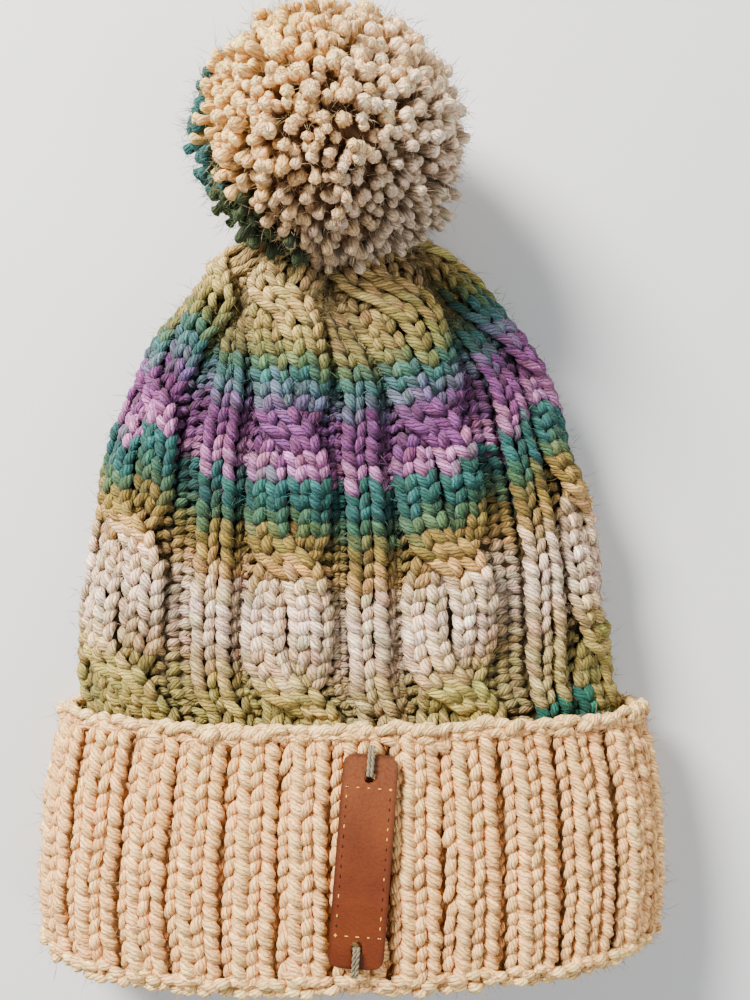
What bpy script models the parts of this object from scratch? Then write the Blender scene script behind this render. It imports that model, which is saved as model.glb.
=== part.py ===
"""Knitted bobble hat, lying on its back on a flat surface.

The hat lies along Y, with its open brim towards -Y and the pompom towards +Y. Z is up and the surface is
z = 0. While it is built, y = 0 is the fold of the brim. The last step moves everything so that the origin is
under the middle of the whole hat. All lengths are in metres.
"""

import math

import bmesh
import bpy
import numpy as np
from mathutils import Vector

# Knitted fabric
LAYER = 0.0054              # one layer of the ribbed cuff, over the rib tops
LAYER_GAP = 0.0008          # the slit between the two layers of the turned-up cuff
CUFF_WALL = 2 * LAYER + LAYER_GAP
SEAT_GAP = 0.0003           # between pieces that touch
FLOOR_PRESS = 0.0012        # how far the fabric's underside is pressed flat by its weight

# Lengths along the hat, from the fold of the brim
CUFF_LENGTH = 0.070
JOIN = 0.058                # where the crown is knitted on to the cuff's inner layer
CROWN_TIP = 0.209
HOLLOW_TIP = 0.2015         # end of the space inside the crown
SLIT_BOTTOM = 0.010

# Each section across the hat is an ellipse carried outwards by a disc of radius "corner"
SECTION_COLUMNS = ("y", "middle", "half_width", "bottom", "top", "corner")
CUFF_SECTIONS = (
    (0.0000, -0.0006, 0.0872, 0.0000, 0.0500, 0.0150),
    (0.0200, -0.0004, 0.0896, 0.0000, 0.0505, 0.0150),
    (0.0420, 0.0002, 0.0888, 0.0000, 0.0492, 0.0150),
    (0.0560, 0.0008, 0.0866, 0.0000, 0.0478, 0.0150),
    (0.0700, 0.0012, 0.0828, 0.0000, 0.0465, 0.0150),
)
FREE_CROWN_SECTIONS = (
    (0.0780, -0.0016, 0.0770, 0.0020, 0.0420, 0.0110),
    (0.0880, -0.0020, 0.0768, 0.0000, 0.0422, 0.0130),
    (0.1000, -0.0020, 0.0762, 0.0000, 0.0426, 0.0140),
    (0.1120, -0.0014, 0.0744, 0.0000, 0.0430, 0.0140),
    (0.1290, -0.0016, 0.0712, 0.0000, 0.0430, 0.0140),
    (0.1430, -0.0022, 0.0678, 0.0000, 0.0428, 0.0140),
    (0.1570, -0.0016, 0.0630, 0.0000, 0.0424, 0.0140),
    (0.1690, -0.0016, 0.0572, 0.0000, 0.0420, 0.0140),
    (0.1780, -0.0016, 0.0522, 0.0000, 0.0412, 0.0140),
    (0.1870, -0.0016, 0.0452, 0.0000, 0.0396, 0.0140),
    (0.1940, -0.0018, 0.0386, 0.0012, 0.0366, 0.0140),
    (0.2000, -0.0020, 0.0305, 0.0042, 0.0322, 0.0120),
    (0.2050, -0.0024, 0.0215, 0.0090, 0.0278, 0.0085),
    (0.2090, -0.0026, 0.0085, 0.0130, 0.0240, 0.0050),
)
# The space inside the crown, about 7.5 mm below the cable tops
FREE_HOLLOW_SECTIONS = (
    (0.0880, -0.0020, 0.0677, 0.0075, 0.0347, 0.0070),
    (0.1290, -0.0014, 0.0625, 0.0075, 0.0355, 0.0075),
    (0.1570, -0.0014, 0.0547, 0.0075, 0.0349, 0.0075),
    (0.1780, -0.0016, 0.0440, 0.0078, 0.0334, 0.0075),
    (0.1900, -0.0018, 0.0330, 0.0090, 0.0300, 0.0075),
    (0.1975, -0.0020, 0.0190, 0.0125, 0.0255, 0.0055),
    (0.2015, -0.0022, 0.0050, 0.0160, 0.0220, 0.0025),
)
CORNER_LIFT = 0.0045        # how far the brim draws back at its two sides
CORNER_LIFT_END = 0.050
ARCH_SHARE = 0.85           # share of a section's rise that bulges up, the rest sags down

# Two-by-two rib of the cuff: place within one rib, and depth below the rib tops
CUFF_RIBS = 26
RIB_PHASE = 0.37            # in ribs, places the gap that the label hides
RIB_COLUMNS = ("place", "outer_depth", "inner_depth")
RIB_PROFILE = (
    (0.00, 0.0031, 0.0000),
    (0.17, 0.0007, 0.0004),
    (0.50, 0.0000, 0.0018),
    (0.83, 0.0007, 0.0004),
)

# One repeat of the crown, from the middle of its narrow rib to the middle of its cable
CROWN_REPEATS = 8
REPEAT_PHASE = -0.135       # in repeats, brings a narrow rib a little right of the middle of the front
REPEAT_COLUMNS = ("place", "depth", "gathered_place", "gathered_depth")
HALF_REPEAT = (
    (0.000, 0.0004, 0.000, 0.0064),
    (0.100, 0.0012, 0.055, 0.0062),
    (0.165, 0.0046, 0.100, 0.0048),
    (0.235, 0.0016, 0.160, 0.0018),
    (0.320, 0.0002, 0.270, 0.0003),
    (0.420, 0.0000, 0.400, 0.0000),
)
GATHER_START = 0.158        # from here the narrow ribs sink between the cables
GATHER_END = 0.188
CABLE_CROSSING = 0.077      # the first place where a cable's strands cross
CABLE_PERIOD = 0.0353
CABLE_SWAY = 0.020          # how far a cable's edge moves in and out, in repeats
CABLE_SWELL = 0.0008        # how far a cable is raised where its strands cross
CALM_END = 0.012            # over this length the relief fades out at the crown's tip

# Pompom
POMPOM_RADII = Vector((0.0368, 0.0352, 0.0366))
POMPOM_CENTRE = Vector((-0.0026, 0.2242, 0.0362))
LOCK_DEPTH = 0.0060
LOCK_JITTER = 0.0012        # how far a lock's end is in or out
CORNER_JITTER = 0.035       # how far a lock's corners wander, in radii
LOCK_TAPER = 0.70           # size of a lock's end against its foot
LOCK_SEED = 7

# Leather label, sewn on with a thread at each end
LABEL_LENGTH = 0.0538
LABEL_WIDTH = 0.0143
LABEL_THICKNESS = 0.0013
LABEL_CORNER = 0.0030
LABEL_CENTRE = (0.0036, 0.0365)
LABEL_TURN = math.radians(-5.7)
HOLE_INSET = 0.0052         # from a label's end to the middle of its hole
HOLE_RADIUS = 0.0015
HOLE_SLOT = 0.0012          # straight length of the hole
THREAD_RADIUS = 0.00055
THREAD_OVERHANG = 0.0022

# Colours, roughness
FINISHES = {
    "cuff": ((0.86, 0.63, 0.38), 0.9),
    "crown": ((0.52, 0.44, 0.22), 0.9),
    "pompom": ((0.78, 0.66, 0.48), 0.9),
    "label": ((0.42, 0.14, 0.05), 0.45),
    "label_thread_top": ((0.42, 0.37, 0.28), 0.7),
    "label_thread_bottom": ((0.42, 0.37, 0.28), 0.7),
}


def smooth_between(xs, ys, x):
    """A cubic through a table's points that never overshoots them."""
    xs, ys, x = np.asarray(xs, float), np.asarray(ys, float), np.asarray(x, float)
    step = np.diff(xs)
    slope = np.diff(ys) / step
    before, after = slope[:-1], slope[1:]
    same_way = before * after > 0
    inner = np.where(same_way, 2 * before * after / np.where(same_way, before + after, 1), 0)
    tangent = np.concatenate([slope[:1], inner, slope[-1:]])
    i = np.clip(np.searchsorted(xs, x, side="right") - 1, 0, len(step) - 1)
    t = np.clip((x - xs[i]) / step[i], 0, 1)
    return (
        (1 + 2 * t) * (1 - t) ** 2 * ys[i]
        + t * (1 - t) ** 2 * step[i] * tangent[i]
        + t * t * (3 - 2 * t) * ys[i + 1]
        - t * t * (1 - t) * step[i] * tangent[i + 1]
    )


def section_at(rows, y):
    """The middle, half width, bottom, top and corner of the section at y."""
    table = np.array(rows)
    return [float(smooth_between(table[:, 0], table[:, k], y)) for k in range(1, len(SECTION_COLUMNS))]


def inset_row(rows, y, inset):
    """A row of a section table that lies inside the section at y by the same amount all round."""
    middle, half_width, bottom, top, corner = section_at(rows, y)
    return (y, middle, half_width - inset, bottom + inset, top - inset, corner - inset)


CROWN_SECTIONS = (
    inset_row(CUFF_SECTIONS, JOIN, LAYER + LAYER_GAP),
    inset_row(CUFF_SECTIONS, CUFF_LENGTH, LAYER + LAYER_GAP),
) + FREE_CROWN_SECTIONS
HOLLOW_SECTIONS = (
    inset_row(CUFF_SECTIONS, JOIN, CUFF_WALL),
    inset_row(CUFF_SECTIONS, CUFF_LENGTH, CUFF_WALL),
) + FREE_HOLLOW_SECTIONS


def ring(rows, y, turns, depth=0.0, relief=None, floored=True):
    """Points round the section at y.

    turns runs from 0 at the middle of the underside, through 0.25 at +X and 0.5 at the top, in equal lengths
    of the outline. depth carries the outline inwards by a constant, and relief by an amount for each point.
    """
    middle, half_width, bottom, top, corner = section_at(rows, y)
    across = half_width - corner
    rise = top - bottom - 2 * corner
    up, down = rise * ARCH_SHARE, rise * (1 - ARCH_SHARE)
    belt = bottom + corner + down

    def outline(angle, out):
        height = np.where(np.sin(angle) >= 0, up, down)
        nx, nz = height * np.cos(angle), across * np.sin(angle)
        size = np.hypot(nx, nz)
        return (
            middle + across * np.cos(angle) + out * nx / size,
            belt + height * np.sin(angle) + out * nz / size,
        )

    even = np.linspace(-0.5 * math.pi, 1.5 * math.pi, 1441)
    height = np.where(np.sin(even) >= 0, up, down)
    turned = np.unwrap(np.arctan2(height * np.sin(even), across * np.cos(even)))
    angles = np.unique(np.clip(np.concatenate([even, turned]), even[0], even[-1]))
    x, z = outline(angles, corner)
    length = np.concatenate([[0], np.cumsum(np.hypot(np.diff(x), np.diff(z)))])
    chosen = np.interp(np.mod(turns, 1.0) * length[-1], length, angles)
    out = corner - depth - (0 if relief is None else relief)
    x, z = outline(chosen, out)
    z = z - FLOOR_PRESS
    lift = CORNER_LIFT * max(0.0, 1 - y / CORNER_LIFT_END) * ((x - middle) / half_width) ** 4
    return np.column_stack([x, y + lift, np.maximum(z, 0.0) if floored else z])


def new_object(name, mesh):
    """An object with its own plain material."""
    colour, roughness = FINISHES[name]
    material = bpy.data.materials.new(name)
    material.use_nodes = True
    surface = material.node_tree.nodes["Principled BSDF"]
    surface.inputs["Base Color"].default_value = (*colour, 1.0)
    surface.inputs["Roughness"].default_value = roughness
    surface.inputs["Metallic"].default_value = 0.0
    mesh.materials.append(material)
    made = bpy.data.objects.new(name, mesh)
    bpy.context.scene.collection.objects.link(made)
    return made


def mesh_of_rings(name, rings, first_pole=False, last_pole=False, closed_loop=False):
    """A closed surface through rings of equal length, joined in order. A pole closes an end with a fan."""
    around = len(rings[0])
    points = [tuple(p) for one in rings for p in one]
    faces = []
    pairs = len(rings) if closed_loop else len(rings) - 1
    for r in range(pairs):
        here, there = r * around, (r + 1) % len(rings) * around
        for k in range(around):
            n = (k + 1) % around
            faces.append((here + k, here + n, there + n, there + k))
    for wanted, r, order in ((first_pole, 0, -1), (last_pole, len(rings) - 1, 1)):
        if wanted:
            points.append(tuple(np.mean(rings[r], axis=0)))
            pole = len(points) - 1
            for k in range(around):
                edge = (r * around + k, r * around + (k + 1) % around)[::order]
                faces.append((*edge, pole))
    mesh = bpy.data.meshes.new(name)
    mesh.from_pydata(points, [], faces)
    shell = bmesh.new()
    shell.from_mesh(mesh)
    bmesh.ops.recalc_face_normals(shell, faces=shell.faces)
    shell.to_mesh(mesh)
    shell.free()
    mesh.shade_smooth()
    return mesh


def cuff_turns():
    """Places round the cuff, with the rib depth at each on its outer and its inner side."""
    profile = np.array(RIB_PROFILE)
    whole = np.arange(CUFF_RIBS)[:, None]
    turns = (whole + profile[:, 0] + RIB_PHASE) / CUFF_RIBS
    outer = np.broadcast_to(profile[:, 1], turns.shape)
    inner = np.broadcast_to(profile[:, 2], turns.shape)
    return turns.ravel() + 0.5, outer.ravel(), inner.ravel()


def make_cuff():
    """The ribbed cuff: one band turned up on itself, so two layers joined by the fold at y = 0."""
    turns, outer, inner = cuff_turns()
    fold = CUFF_WALL / 2
    diagonal = fold * (1 - math.sqrt(0.5))
    layer_back = LAYER + LAYER_GAP
    # Each row is a ring: y, depth below the rib tops, and how much of each side's rib relief it carries
    rows = (
        (0.0688, 0.0000, 1.0, 0.0),
        (0.0540, 0.0000, 1.0, 0.0),
        (0.0360, 0.0000, 1.0, 0.0),
        (0.0180, 0.0000, 1.0, 0.0),
        (fold, 0.0000, 1.0, 0.0),
        (diagonal, diagonal, 0.7, 0.0),
        (0.0000, fold, 0.2, 0.0),
        (diagonal, CUFF_WALL - diagonal, 0.0, -0.6),
        (fold, CUFF_WALL, 0.0, -1.0),
        (0.0320, CUFF_WALL, 0.0, -1.0),
        (JOIN, CUFF_WALL, 0.0, -0.5),
        (JOIN, layer_back, 0.0, 0.0),
        (SLIT_BOTTOM, layer_back, 0.0, 0.0),
        (SLIT_BOTTOM, LAYER, 0.0, 0.0),
        (CUFF_LENGTH - 0.0012, LAYER, 0.0, 0.0),
        (CUFF_LENGTH, LAYER - 0.0014, 0.2, 0.0),
        (CUFF_LENGTH, 0.0012, 0.7, 0.0),
    )
    rings = [
        ring(CUFF_SECTIONS, y, turns, depth, outer * outer_share + inner * inner_share)
        for y, depth, outer_share, inner_share in rows
    ]
    return new_object("cuff", mesh_of_rings("cuff", rings, closed_loop=True))


def crown_relief(y):
    """Places round the crown at y, with the depth below the cable tops at each."""
    gather = np.clip((y - GATHER_START) / (GATHER_END - GATHER_START), 0, 1)
    gather = gather * gather * (3 - 2 * gather)
    place, depth, gathered_place, gathered_depth = np.array(HALF_REPEAT).T
    place = place + (gathered_place - place) * gather
    depth = depth + (gathered_depth - depth) * gather
    crossing = math.cos(2 * math.pi * (y - CABLE_CROSSING) / CABLE_PERIOD)
    on_cable = np.linspace(0, 1, len(place)) > 0.5
    place = place + on_cable * CABLE_SWAY * crossing
    depth = depth + CABLE_SWELL - on_cable * CABLE_SWELL * crossing
    places = np.concatenate([place, 1 - place[:0:-1]])
    depths = np.concatenate([depth, depth[:0:-1]])
    repeat = np.arange(CROWN_REPEATS)[:, None]
    turns = (repeat + places + REPEAT_PHASE) / CROWN_REPEATS
    return turns.ravel() + 0.5, np.tile(depths, CROWN_REPEATS)


def make_crown():
    """The cabled crown: a sock closed at its gathered tip, open where it leaves the cuff."""
    start = JOIN + SEAT_GAP
    outer_rows = np.concatenate([
        [start],
        np.arange(0.0690, 0.1700, 0.0088),
        [0.1740, 0.1810, 0.1875, 0.1935, 0.1985, 0.2030, 0.2065, CROWN_TIP],
    ])
    inner_rows = np.array([HOLLOW_TIP, 0.1960, 0.1840, 0.1600, 0.1180, 0.0760, start])
    # From the tip of the hollow back to the open edge, then over the edge and along the outside to the tip
    rings = [ring(HOLLOW_SECTIONS, y, crown_relief(y)[0]) for y in inner_rows]
    for y in outer_rows:
        turns, depths = crown_relief(y)
        calm = min(1.0, (CROWN_TIP - y) / CALM_END)
        rings.append(ring(CROWN_SECTIONS, y, turns, 0.0, depths * calm))
    return new_object("crown", mesh_of_rings("crown", rings, first_pole=True, last_pole=True))


def make_crown_clearance():
    """A cutter: the crown's gathered end without its relief, larger all round by the seat gap."""
    turns = np.arange(72) / 72
    rows = np.array([0.1700, 0.1740, 0.1810, 0.1875, 0.1935, 0.1985, 0.2030, 0.2065, CROWN_TIP])
    rings = [ring(CROWN_SECTIONS, y, turns, -SEAT_GAP, floored=False) for y in rows]
    rings[-1][:, 1] += SEAT_GAP
    cutter = bpy.data.objects.new("crown_clearance", mesh_of_rings("crown_clearance", rings, True, True))
    cutter.hide_render = True
    cutter.display_type = "WIRE"
    bpy.context.scene.collection.objects.link(cutter)
    return cutter


def make_pompom():
    """The pompom: locks of cut yarn standing on a core, pressed flat below and hollowed over the crown's end."""
    ball = bmesh.new()
    bmesh.ops.create_icosphere(ball, subdivisions=3, radius=1.0)
    ball.verts.ensure_lookup_table()
    ball.faces.ensure_lookup_table()
    centres = [face.calc_center_median().normalized() for face in ball.faces]
    rng = np.random.default_rng(LOCK_SEED)
    wander = rng.uniform(-1, 1, (len(centres), 3)) * CORNER_JITTER
    centres = [(centre + Vector(step)).normalized() for centre, step in zip(centres, wander)]
    directions, cells, reaches = list(centres), [], []
    for vert in ball.verts:
        axis = vert.co.normalized()
        side = axis.orthogonal().normalized()
        other = axis.cross(side)
        around = sorted(
            (face.index for face in vert.link_faces),
            key=lambda i: math.atan2(centres[i].dot(other), centres[i].dot(side)),
        )
        reach = 1 + LOCK_JITTER / POMPOM_RADII.x * float(rng.uniform(-1, 1))
        end = []
        for i in around:
            end.append(len(directions))
            directions.append((axis + (centres[i] - axis) * LOCK_TAPER).normalized())
            reaches.append(reach)
        cells.append((around, end))
    ball.free()
    faces = []
    for foot, end in cells:
        faces.append(tuple(end))
        for k in range(len(foot)):
            n = (k + 1) % len(foot)
            faces.append((foot[k], foot[n], end[n], end[k]))
    reaches = [1 - LOCK_DEPTH / POMPOM_RADII.x] * len(centres) + reaches
    points = []
    for direction, reach in zip(directions, reaches):
        point = POMPOM_CENTRE + direction * POMPOM_RADII * reach
        points.append((point.x, point.y, max(point.z, 0.0)))
    mesh = bpy.data.meshes.new("pompom")
    mesh.from_pydata(points, [], faces)
    pompom = new_object("pompom", mesh)
    seat = pompom.modifiers.new("seat", "BOOLEAN")
    seat.operation = "DIFFERENCE"
    seat.solver = "EXACT"
    seat.object = make_crown_clearance()
    return pompom


def on_label(across, along, height):
    """A place from the label's middle: across it, along it, and above its mid-plane, in the hat's frame.

    The label is turned a little, and bends along its length as the cuff's front does.
    """
    x = LABEL_CENTRE[0] + across * math.cos(LABEL_TURN) - along * math.sin(LABEL_TURN)
    y = LABEL_CENTRE[1] + across * math.sin(LABEL_TURN) + along * math.cos(LABEL_TURN)
    top = section_at(CUFF_SECTIONS, y)[3] - FLOOR_PRESS
    return x, y, top + SEAT_GAP + LABEL_THICKNESS / 2 + height


def rounded_outline(half_x, half_y, radius, steps):
    """Points round a rectangle with arcs for its corners."""
    points = []
    for quarter, (sx, sy) in enumerate(((1, 1), (-1, 1), (-1, -1), (1, -1))):
        for k in range(steps + 1):
            angle = math.pi / 2 * (quarter + k / steps)
            points.append((
                sx * (half_x - radius) + radius * math.cos(angle),
                sy * (half_y - radius) + radius * math.sin(angle),
            ))
    return points


def plate_on_label(name, outline, half_height, middle=0.0, cuts=()):
    """A plate with this outline, cut across at some places along the label and bent as the label is."""
    shell = bmesh.new()
    face = shell.faces.new([shell.verts.new((x, middle + y, -half_height)) for x, y in outline])
    raised = bmesh.ops.extrude_face_region(shell, geom=[face])["geom"]
    moved = [v for v in raised if isinstance(v, bmesh.types.BMVert)]
    bmesh.ops.translate(shell, verts=moved, vec=(0, 0, 2 * half_height))
    bmesh.ops.recalc_face_normals(shell, faces=shell.faces)
    for along in cuts:
        geometry = shell.verts[:] + shell.edges[:] + shell.faces[:]
        bmesh.ops.bisect_plane(shell, geom=geometry, plane_co=(0, along, 0), plane_no=(0, 1, 0))
    for vert in shell.verts:
        vert.co = on_label(*vert.co)
    mesh = bpy.data.meshes.new(name)
    shell.to_mesh(mesh)
    shell.free()
    return mesh


def make_label():
    """The leather label, a plate with a slotted hole near each end."""
    outline = rounded_outline(LABEL_WIDTH / 2, LABEL_LENGTH / 2, LABEL_CORNER, 3)
    cuts = np.linspace(-0.4, 0.4, 5) * LABEL_LENGTH
    label = new_object("label", plate_on_label("label", outline, LABEL_THICKNESS / 2, cuts=cuts))
    for end in (-1, 1):
        slot = rounded_outline(HOLE_RADIUS, HOLE_RADIUS + HOLE_SLOT / 2, HOLE_RADIUS * 0.98, 2)
        middle = end * (LABEL_LENGTH / 2 - HOLE_INSET)
        cutter = bpy.data.objects.new(
            "hole_cutter", plate_on_label("hole_cutter", slot, LABEL_THICKNESS * 2, middle)
        )
        cutter.hide_render = True
        cutter.display_type = "WIRE"
        bpy.context.scene.collection.objects.link(cutter)
        hole = label.modifiers.new("hole", "BOOLEAN")
        hole.operation = "DIFFERENCE"
        hole.solver = "EXACT"
        hole.object = cutter
    return label


def make_thread(name, end):
    """The thread that holds one end of the label: up through the hole, over the label's end and down."""
    over = LABEL_THICKNESS / 2 + THREAD_RADIUS + SEAT_GAP
    inner = LABEL_LENGTH / 2 - HOLE_INSET
    outer = LABEL_LENGTH / 2 + THREAD_OVERHANG
    # Distance from the label's middle, and height over its mid-plane
    route = (
        (inner - 0.0003, -LABEL_THICKNESS * 0.30),
        (inner - 0.0001, over * 0.75),
        (inner + 0.0009, over + 0.0002),
        (0.5 * (inner + outer), over + 0.0003),
        (outer - 0.0009, over),
        (outer - 0.0002, over * 0.45),
        (outer, -LABEL_THICKNESS * 0.10),
    )
    curve = bpy.data.curves.new(name, "CURVE")
    curve.dimensions = "3D"
    curve.bevel_depth = THREAD_RADIUS
    curve.bevel_resolution = 1
    curve.use_fill_caps = True
    line = curve.splines.new("POLY")
    line.points.add(len(route) - 1)
    for point, (along, height) in zip(line.points, route):
        point.co = (*on_label(0.0, end * along, height), 1.0)
    return new_object(name, curve)


def centre_on_origin(objects):
    """Moves every object so that the origin is on the surface, under the middle of the whole hat."""
    bpy.context.view_layer.update()
    graph = bpy.context.evaluated_depsgraph_get()
    points = np.array([
        vert.co[:] for made in objects for vert in made.evaluated_get(graph).to_mesh().vertices
    ])
    middle = (points.min(axis=0) + points.max(axis=0)) / 2
    for made in bpy.data.objects:
        made.location = (-middle[0], -middle[1], 0.0)


def main():
    for old in list(bpy.data.objects):
        bpy.data.objects.remove(old, do_unlink=True)
    pieces = [
        make_cuff(),
        make_crown(),
        make_pompom(),
        make_label(),
        make_thread("label_thread_top", 1),
        make_thread("label_thread_bottom", -1),
    ]
    centre_on_origin(pieces)


main()
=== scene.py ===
"""Looks of a knitted bobble hat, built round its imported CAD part.

The hat lies on its back along Y, its brim towards -Y and its pompom towards +Y, on the plane z = 0. All
lengths are in metres. Knitting is made stitch by stitch: each leg of a stitch is a short closed tube, laid on
a smooth surface that has the shape of the CAD solid.
"""

import math

import bpy
import numpy as np
from bpy.props import FloatProperty, FloatVectorProperty, IntProperty, PointerProperty
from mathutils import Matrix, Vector


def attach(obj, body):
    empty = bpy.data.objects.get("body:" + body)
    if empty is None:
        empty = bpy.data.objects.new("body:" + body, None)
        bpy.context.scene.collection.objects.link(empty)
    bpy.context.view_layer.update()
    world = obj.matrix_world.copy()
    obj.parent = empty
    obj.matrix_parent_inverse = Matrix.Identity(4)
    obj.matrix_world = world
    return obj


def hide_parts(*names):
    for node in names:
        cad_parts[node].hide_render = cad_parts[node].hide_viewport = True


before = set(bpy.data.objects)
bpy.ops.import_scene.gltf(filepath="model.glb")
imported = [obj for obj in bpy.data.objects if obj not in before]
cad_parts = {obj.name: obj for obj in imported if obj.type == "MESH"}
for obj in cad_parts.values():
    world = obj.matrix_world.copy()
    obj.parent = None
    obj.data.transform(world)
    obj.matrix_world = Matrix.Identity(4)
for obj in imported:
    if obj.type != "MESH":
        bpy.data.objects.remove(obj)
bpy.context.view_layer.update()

bl_info = {
    "name": "Bobble Hat",
    "version": (1, 0, 0),
    "blender": (4, 5, 0),
    "location": "3D View > Sidebar > Hat",
    "description": "Knits a bobble hat with a cabled crown, a ribbed cuff and a pompom over its CAD part",
    "category": "Object",
}

# The same shape as the CAD part, whose y = 0 is the fold of the brim
TO_ROW_FRAME = np.array([0.00067007, -0.12985191, 0.0])
LAYER = 0.0054
LAYER_GAP = 0.0008
CUFF_WALL = 2 * LAYER + LAYER_GAP
SEAT_GAP = 0.0003
FLOOR_PRESS = 0.0012
CUFF_LENGTH = 0.070
JOIN = 0.058
CROWN_TIP = 0.209
CORNER_LIFT = 0.0045
CORNER_LIFT_END = 0.050
ARCH_SHARE = 0.85

# y, middle, half width, bottom, top, corner
CUFF_SECTIONS = (
    (0.0000, -0.0006, 0.0872, 0.0000, 0.0500, 0.0150),
    (0.0200, -0.0004, 0.0896, 0.0000, 0.0505, 0.0150),
    (0.0420, 0.0002, 0.0888, 0.0000, 0.0492, 0.0150),
    (0.0560, 0.0008, 0.0866, 0.0000, 0.0478, 0.0150),
    (0.0700, 0.0012, 0.0828, 0.0000, 0.0465, 0.0150),
)
FREE_CROWN_SECTIONS = (
    (0.0780, -0.0016, 0.0770, 0.0020, 0.0420, 0.0110),
    (0.0880, -0.0020, 0.0768, 0.0000, 0.0422, 0.0130),
    (0.1000, -0.0020, 0.0762, 0.0000, 0.0426, 0.0140),
    (0.1120, -0.0014, 0.0744, 0.0000, 0.0430, 0.0140),
    (0.1290, -0.0016, 0.0712, 0.0000, 0.0430, 0.0140),
    (0.1430, -0.0022, 0.0678, 0.0000, 0.0428, 0.0140),
    (0.1570, -0.0016, 0.0630, 0.0000, 0.0424, 0.0140),
    (0.1690, -0.0016, 0.0572, 0.0000, 0.0420, 0.0140),
    (0.1780, -0.0016, 0.0522, 0.0000, 0.0412, 0.0140),
    (0.1870, -0.0016, 0.0452, 0.0000, 0.0396, 0.0140),
    (0.1940, -0.0018, 0.0386, 0.0012, 0.0366, 0.0140),
    (0.2000, -0.0020, 0.0305, 0.0042, 0.0322, 0.0120),
    (0.2050, -0.0024, 0.0215, 0.0090, 0.0278, 0.0085),
    (0.2090, -0.0026, 0.0085, 0.0130, 0.0240, 0.0050),
)
FREE_HOLLOW_SECTIONS = (
    (0.0880, -0.0020, 0.0677, 0.0075, 0.0347, 0.0070),
    (0.1290, -0.0014, 0.0625, 0.0075, 0.0355, 0.0075),
    (0.1570, -0.0014, 0.0547, 0.0075, 0.0349, 0.0075),
    (0.1780, -0.0016, 0.0440, 0.0078, 0.0334, 0.0075),
    (0.1900, -0.0018, 0.0330, 0.0090, 0.0300, 0.0075),
    (0.1975, -0.0020, 0.0190, 0.0125, 0.0255, 0.0055),
    (0.2015, -0.0022, 0.0050, 0.0160, 0.0220, 0.0025),
)

CUFF_RIBS = 26
RIB_PHASE = 0.37
# Place in a rib, from the gap on its left to the gap on its right, and depth below the rib tops
RIB_RELIEF = ((0.0, 0.0031), (0.17, 0.0007), (0.5, 0.0), (0.83, 0.0007), (1.0, 0.0031))

CROWN_REPEATS = 8
REPEAT_PHASE = -0.135
# Place from the middle of a narrow rib to the middle of a cable, depth, and both where the crown is gathered
HALF_REPEAT = (
    (0.000, 0.0004, 0.000, 0.0064),
    (0.100, 0.0012, 0.055, 0.0062),
    (0.165, 0.0046, 0.100, 0.0048),
    (0.235, 0.0016, 0.160, 0.0018),
    (0.320, 0.0002, 0.270, 0.0003),
    (0.420, 0.0000, 0.400, 0.0000),
    (0.500, 0.0000, 0.500, 0.0000),
)
GATHER_START = 0.158
GATHER_END = 0.188
GATHER_SHIFT = 0.24
CABLE_CROSSING = 0.0778
CABLE_PERIOD = 0.0353
CABLE_REACH = 0.136         # how far a strand lies from its cable's middle, in repeats
CABLE_HASTE = 2.1           # how suddenly strands cross
CALM_END = 0.012

POMPOM_RADII = np.array([0.0368, 0.0352, 0.0366])
POMPOM_CENTRE = np.array([-0.0026, 0.2242, 0.0362]) + TO_ROW_FRAME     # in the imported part's frame
POMPOM_TIE = np.array([0.0, 0.0060, -0.0020])   # where its strands meet, from its middle
POMPOM_SEED = 41
# Along a strand, as shares of the way from the tie to its tip: stations, and its thickness and painted light
# there, painted shade towards the tie and a painted highlight at its tip.
# The first and last station are its poles, which have no thickness.
STRAND_STATIONS = np.array([0.74, 0.76, 0.86, 0.92, 0.955, 0.982, 0.996, 1.0])
STRAND_SHAPE = np.array([0.72, 0.84, 0.94, 1.02, 0.98, 0.62])
STRAND_LIGHT = np.array([0.36, 0.38, 0.48, 0.66, 0.90, 1.10, 1.22, 1.22])
STRAND_SIDES = 7
POMPOM_CORE = 0.80          # the core's size as a share of the pompom's

LABEL_LENGTH = 0.0538
LABEL_WIDTH = 0.0143
LABEL_THICKNESS = 0.0013
LABEL_CENTRE = (0.0036, 0.0365)
LABEL_TURN = math.radians(-5.7)
HOLE_INSET = 0.0052
THREAD_OVERHANG = 0.0022
BURNISHED = 0.0011          # width of the label's dark edge
BORDER_HALF_LENGTH = 0.0186
BORDER_HALF_WIDTH = 0.0056
BORDER_DASHES = (16, 5)     # along each side and across each end
# Stations along a dash from its middle, in half lengths
DASH_SPAN = np.array([-1.0, -0.9, -0.5, 0.0, 0.5, 0.9, 1.0])
DASH_HALF_WIDTH = 0.00016
# The thread goes up through its hole, over the label's end and down: the stops on its way, as shares of it
THREAD_WAY = (0, 0.12, 0.24, 0.5, 0.78, 0.88, 1)
THREAD_TOP = LABEL_THICKNESS / 2 + 0.00085   # above the middle of the label's thickness
THREAD_PLY = 0.00030        # half the thickness of one of its plies

# Knitting
COURSE = 0.00374            # height of one row of stitches
SIDE_RISE = 0.0185          # how much higher a row of the crown lies at the hat's two sides
PLY_SPACING = 0.0015        # along a leg, from one ply to the next
PLIES = 7
YARN_STEP = 14              # tubes start at whole multiples of this along the yarn, to tell them apart
CROWN_GIRTH = 0.342         # once round the crown and the cuff where their stitches have their full size
CUFF_GIRTH = 0.385
REPEAT_WIDTH = 0.0427
CROWN_ROWS = 52
HIDDEN_ROWS = 4             # the crown's rows are counted from this many below the join
SHELL_OVERLAP = 0.0008      # how far the crown's own fabric reaches into the cuff's
FABRIC_PLIES = 0.7          # plies for each step of a fabric's grid

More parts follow.
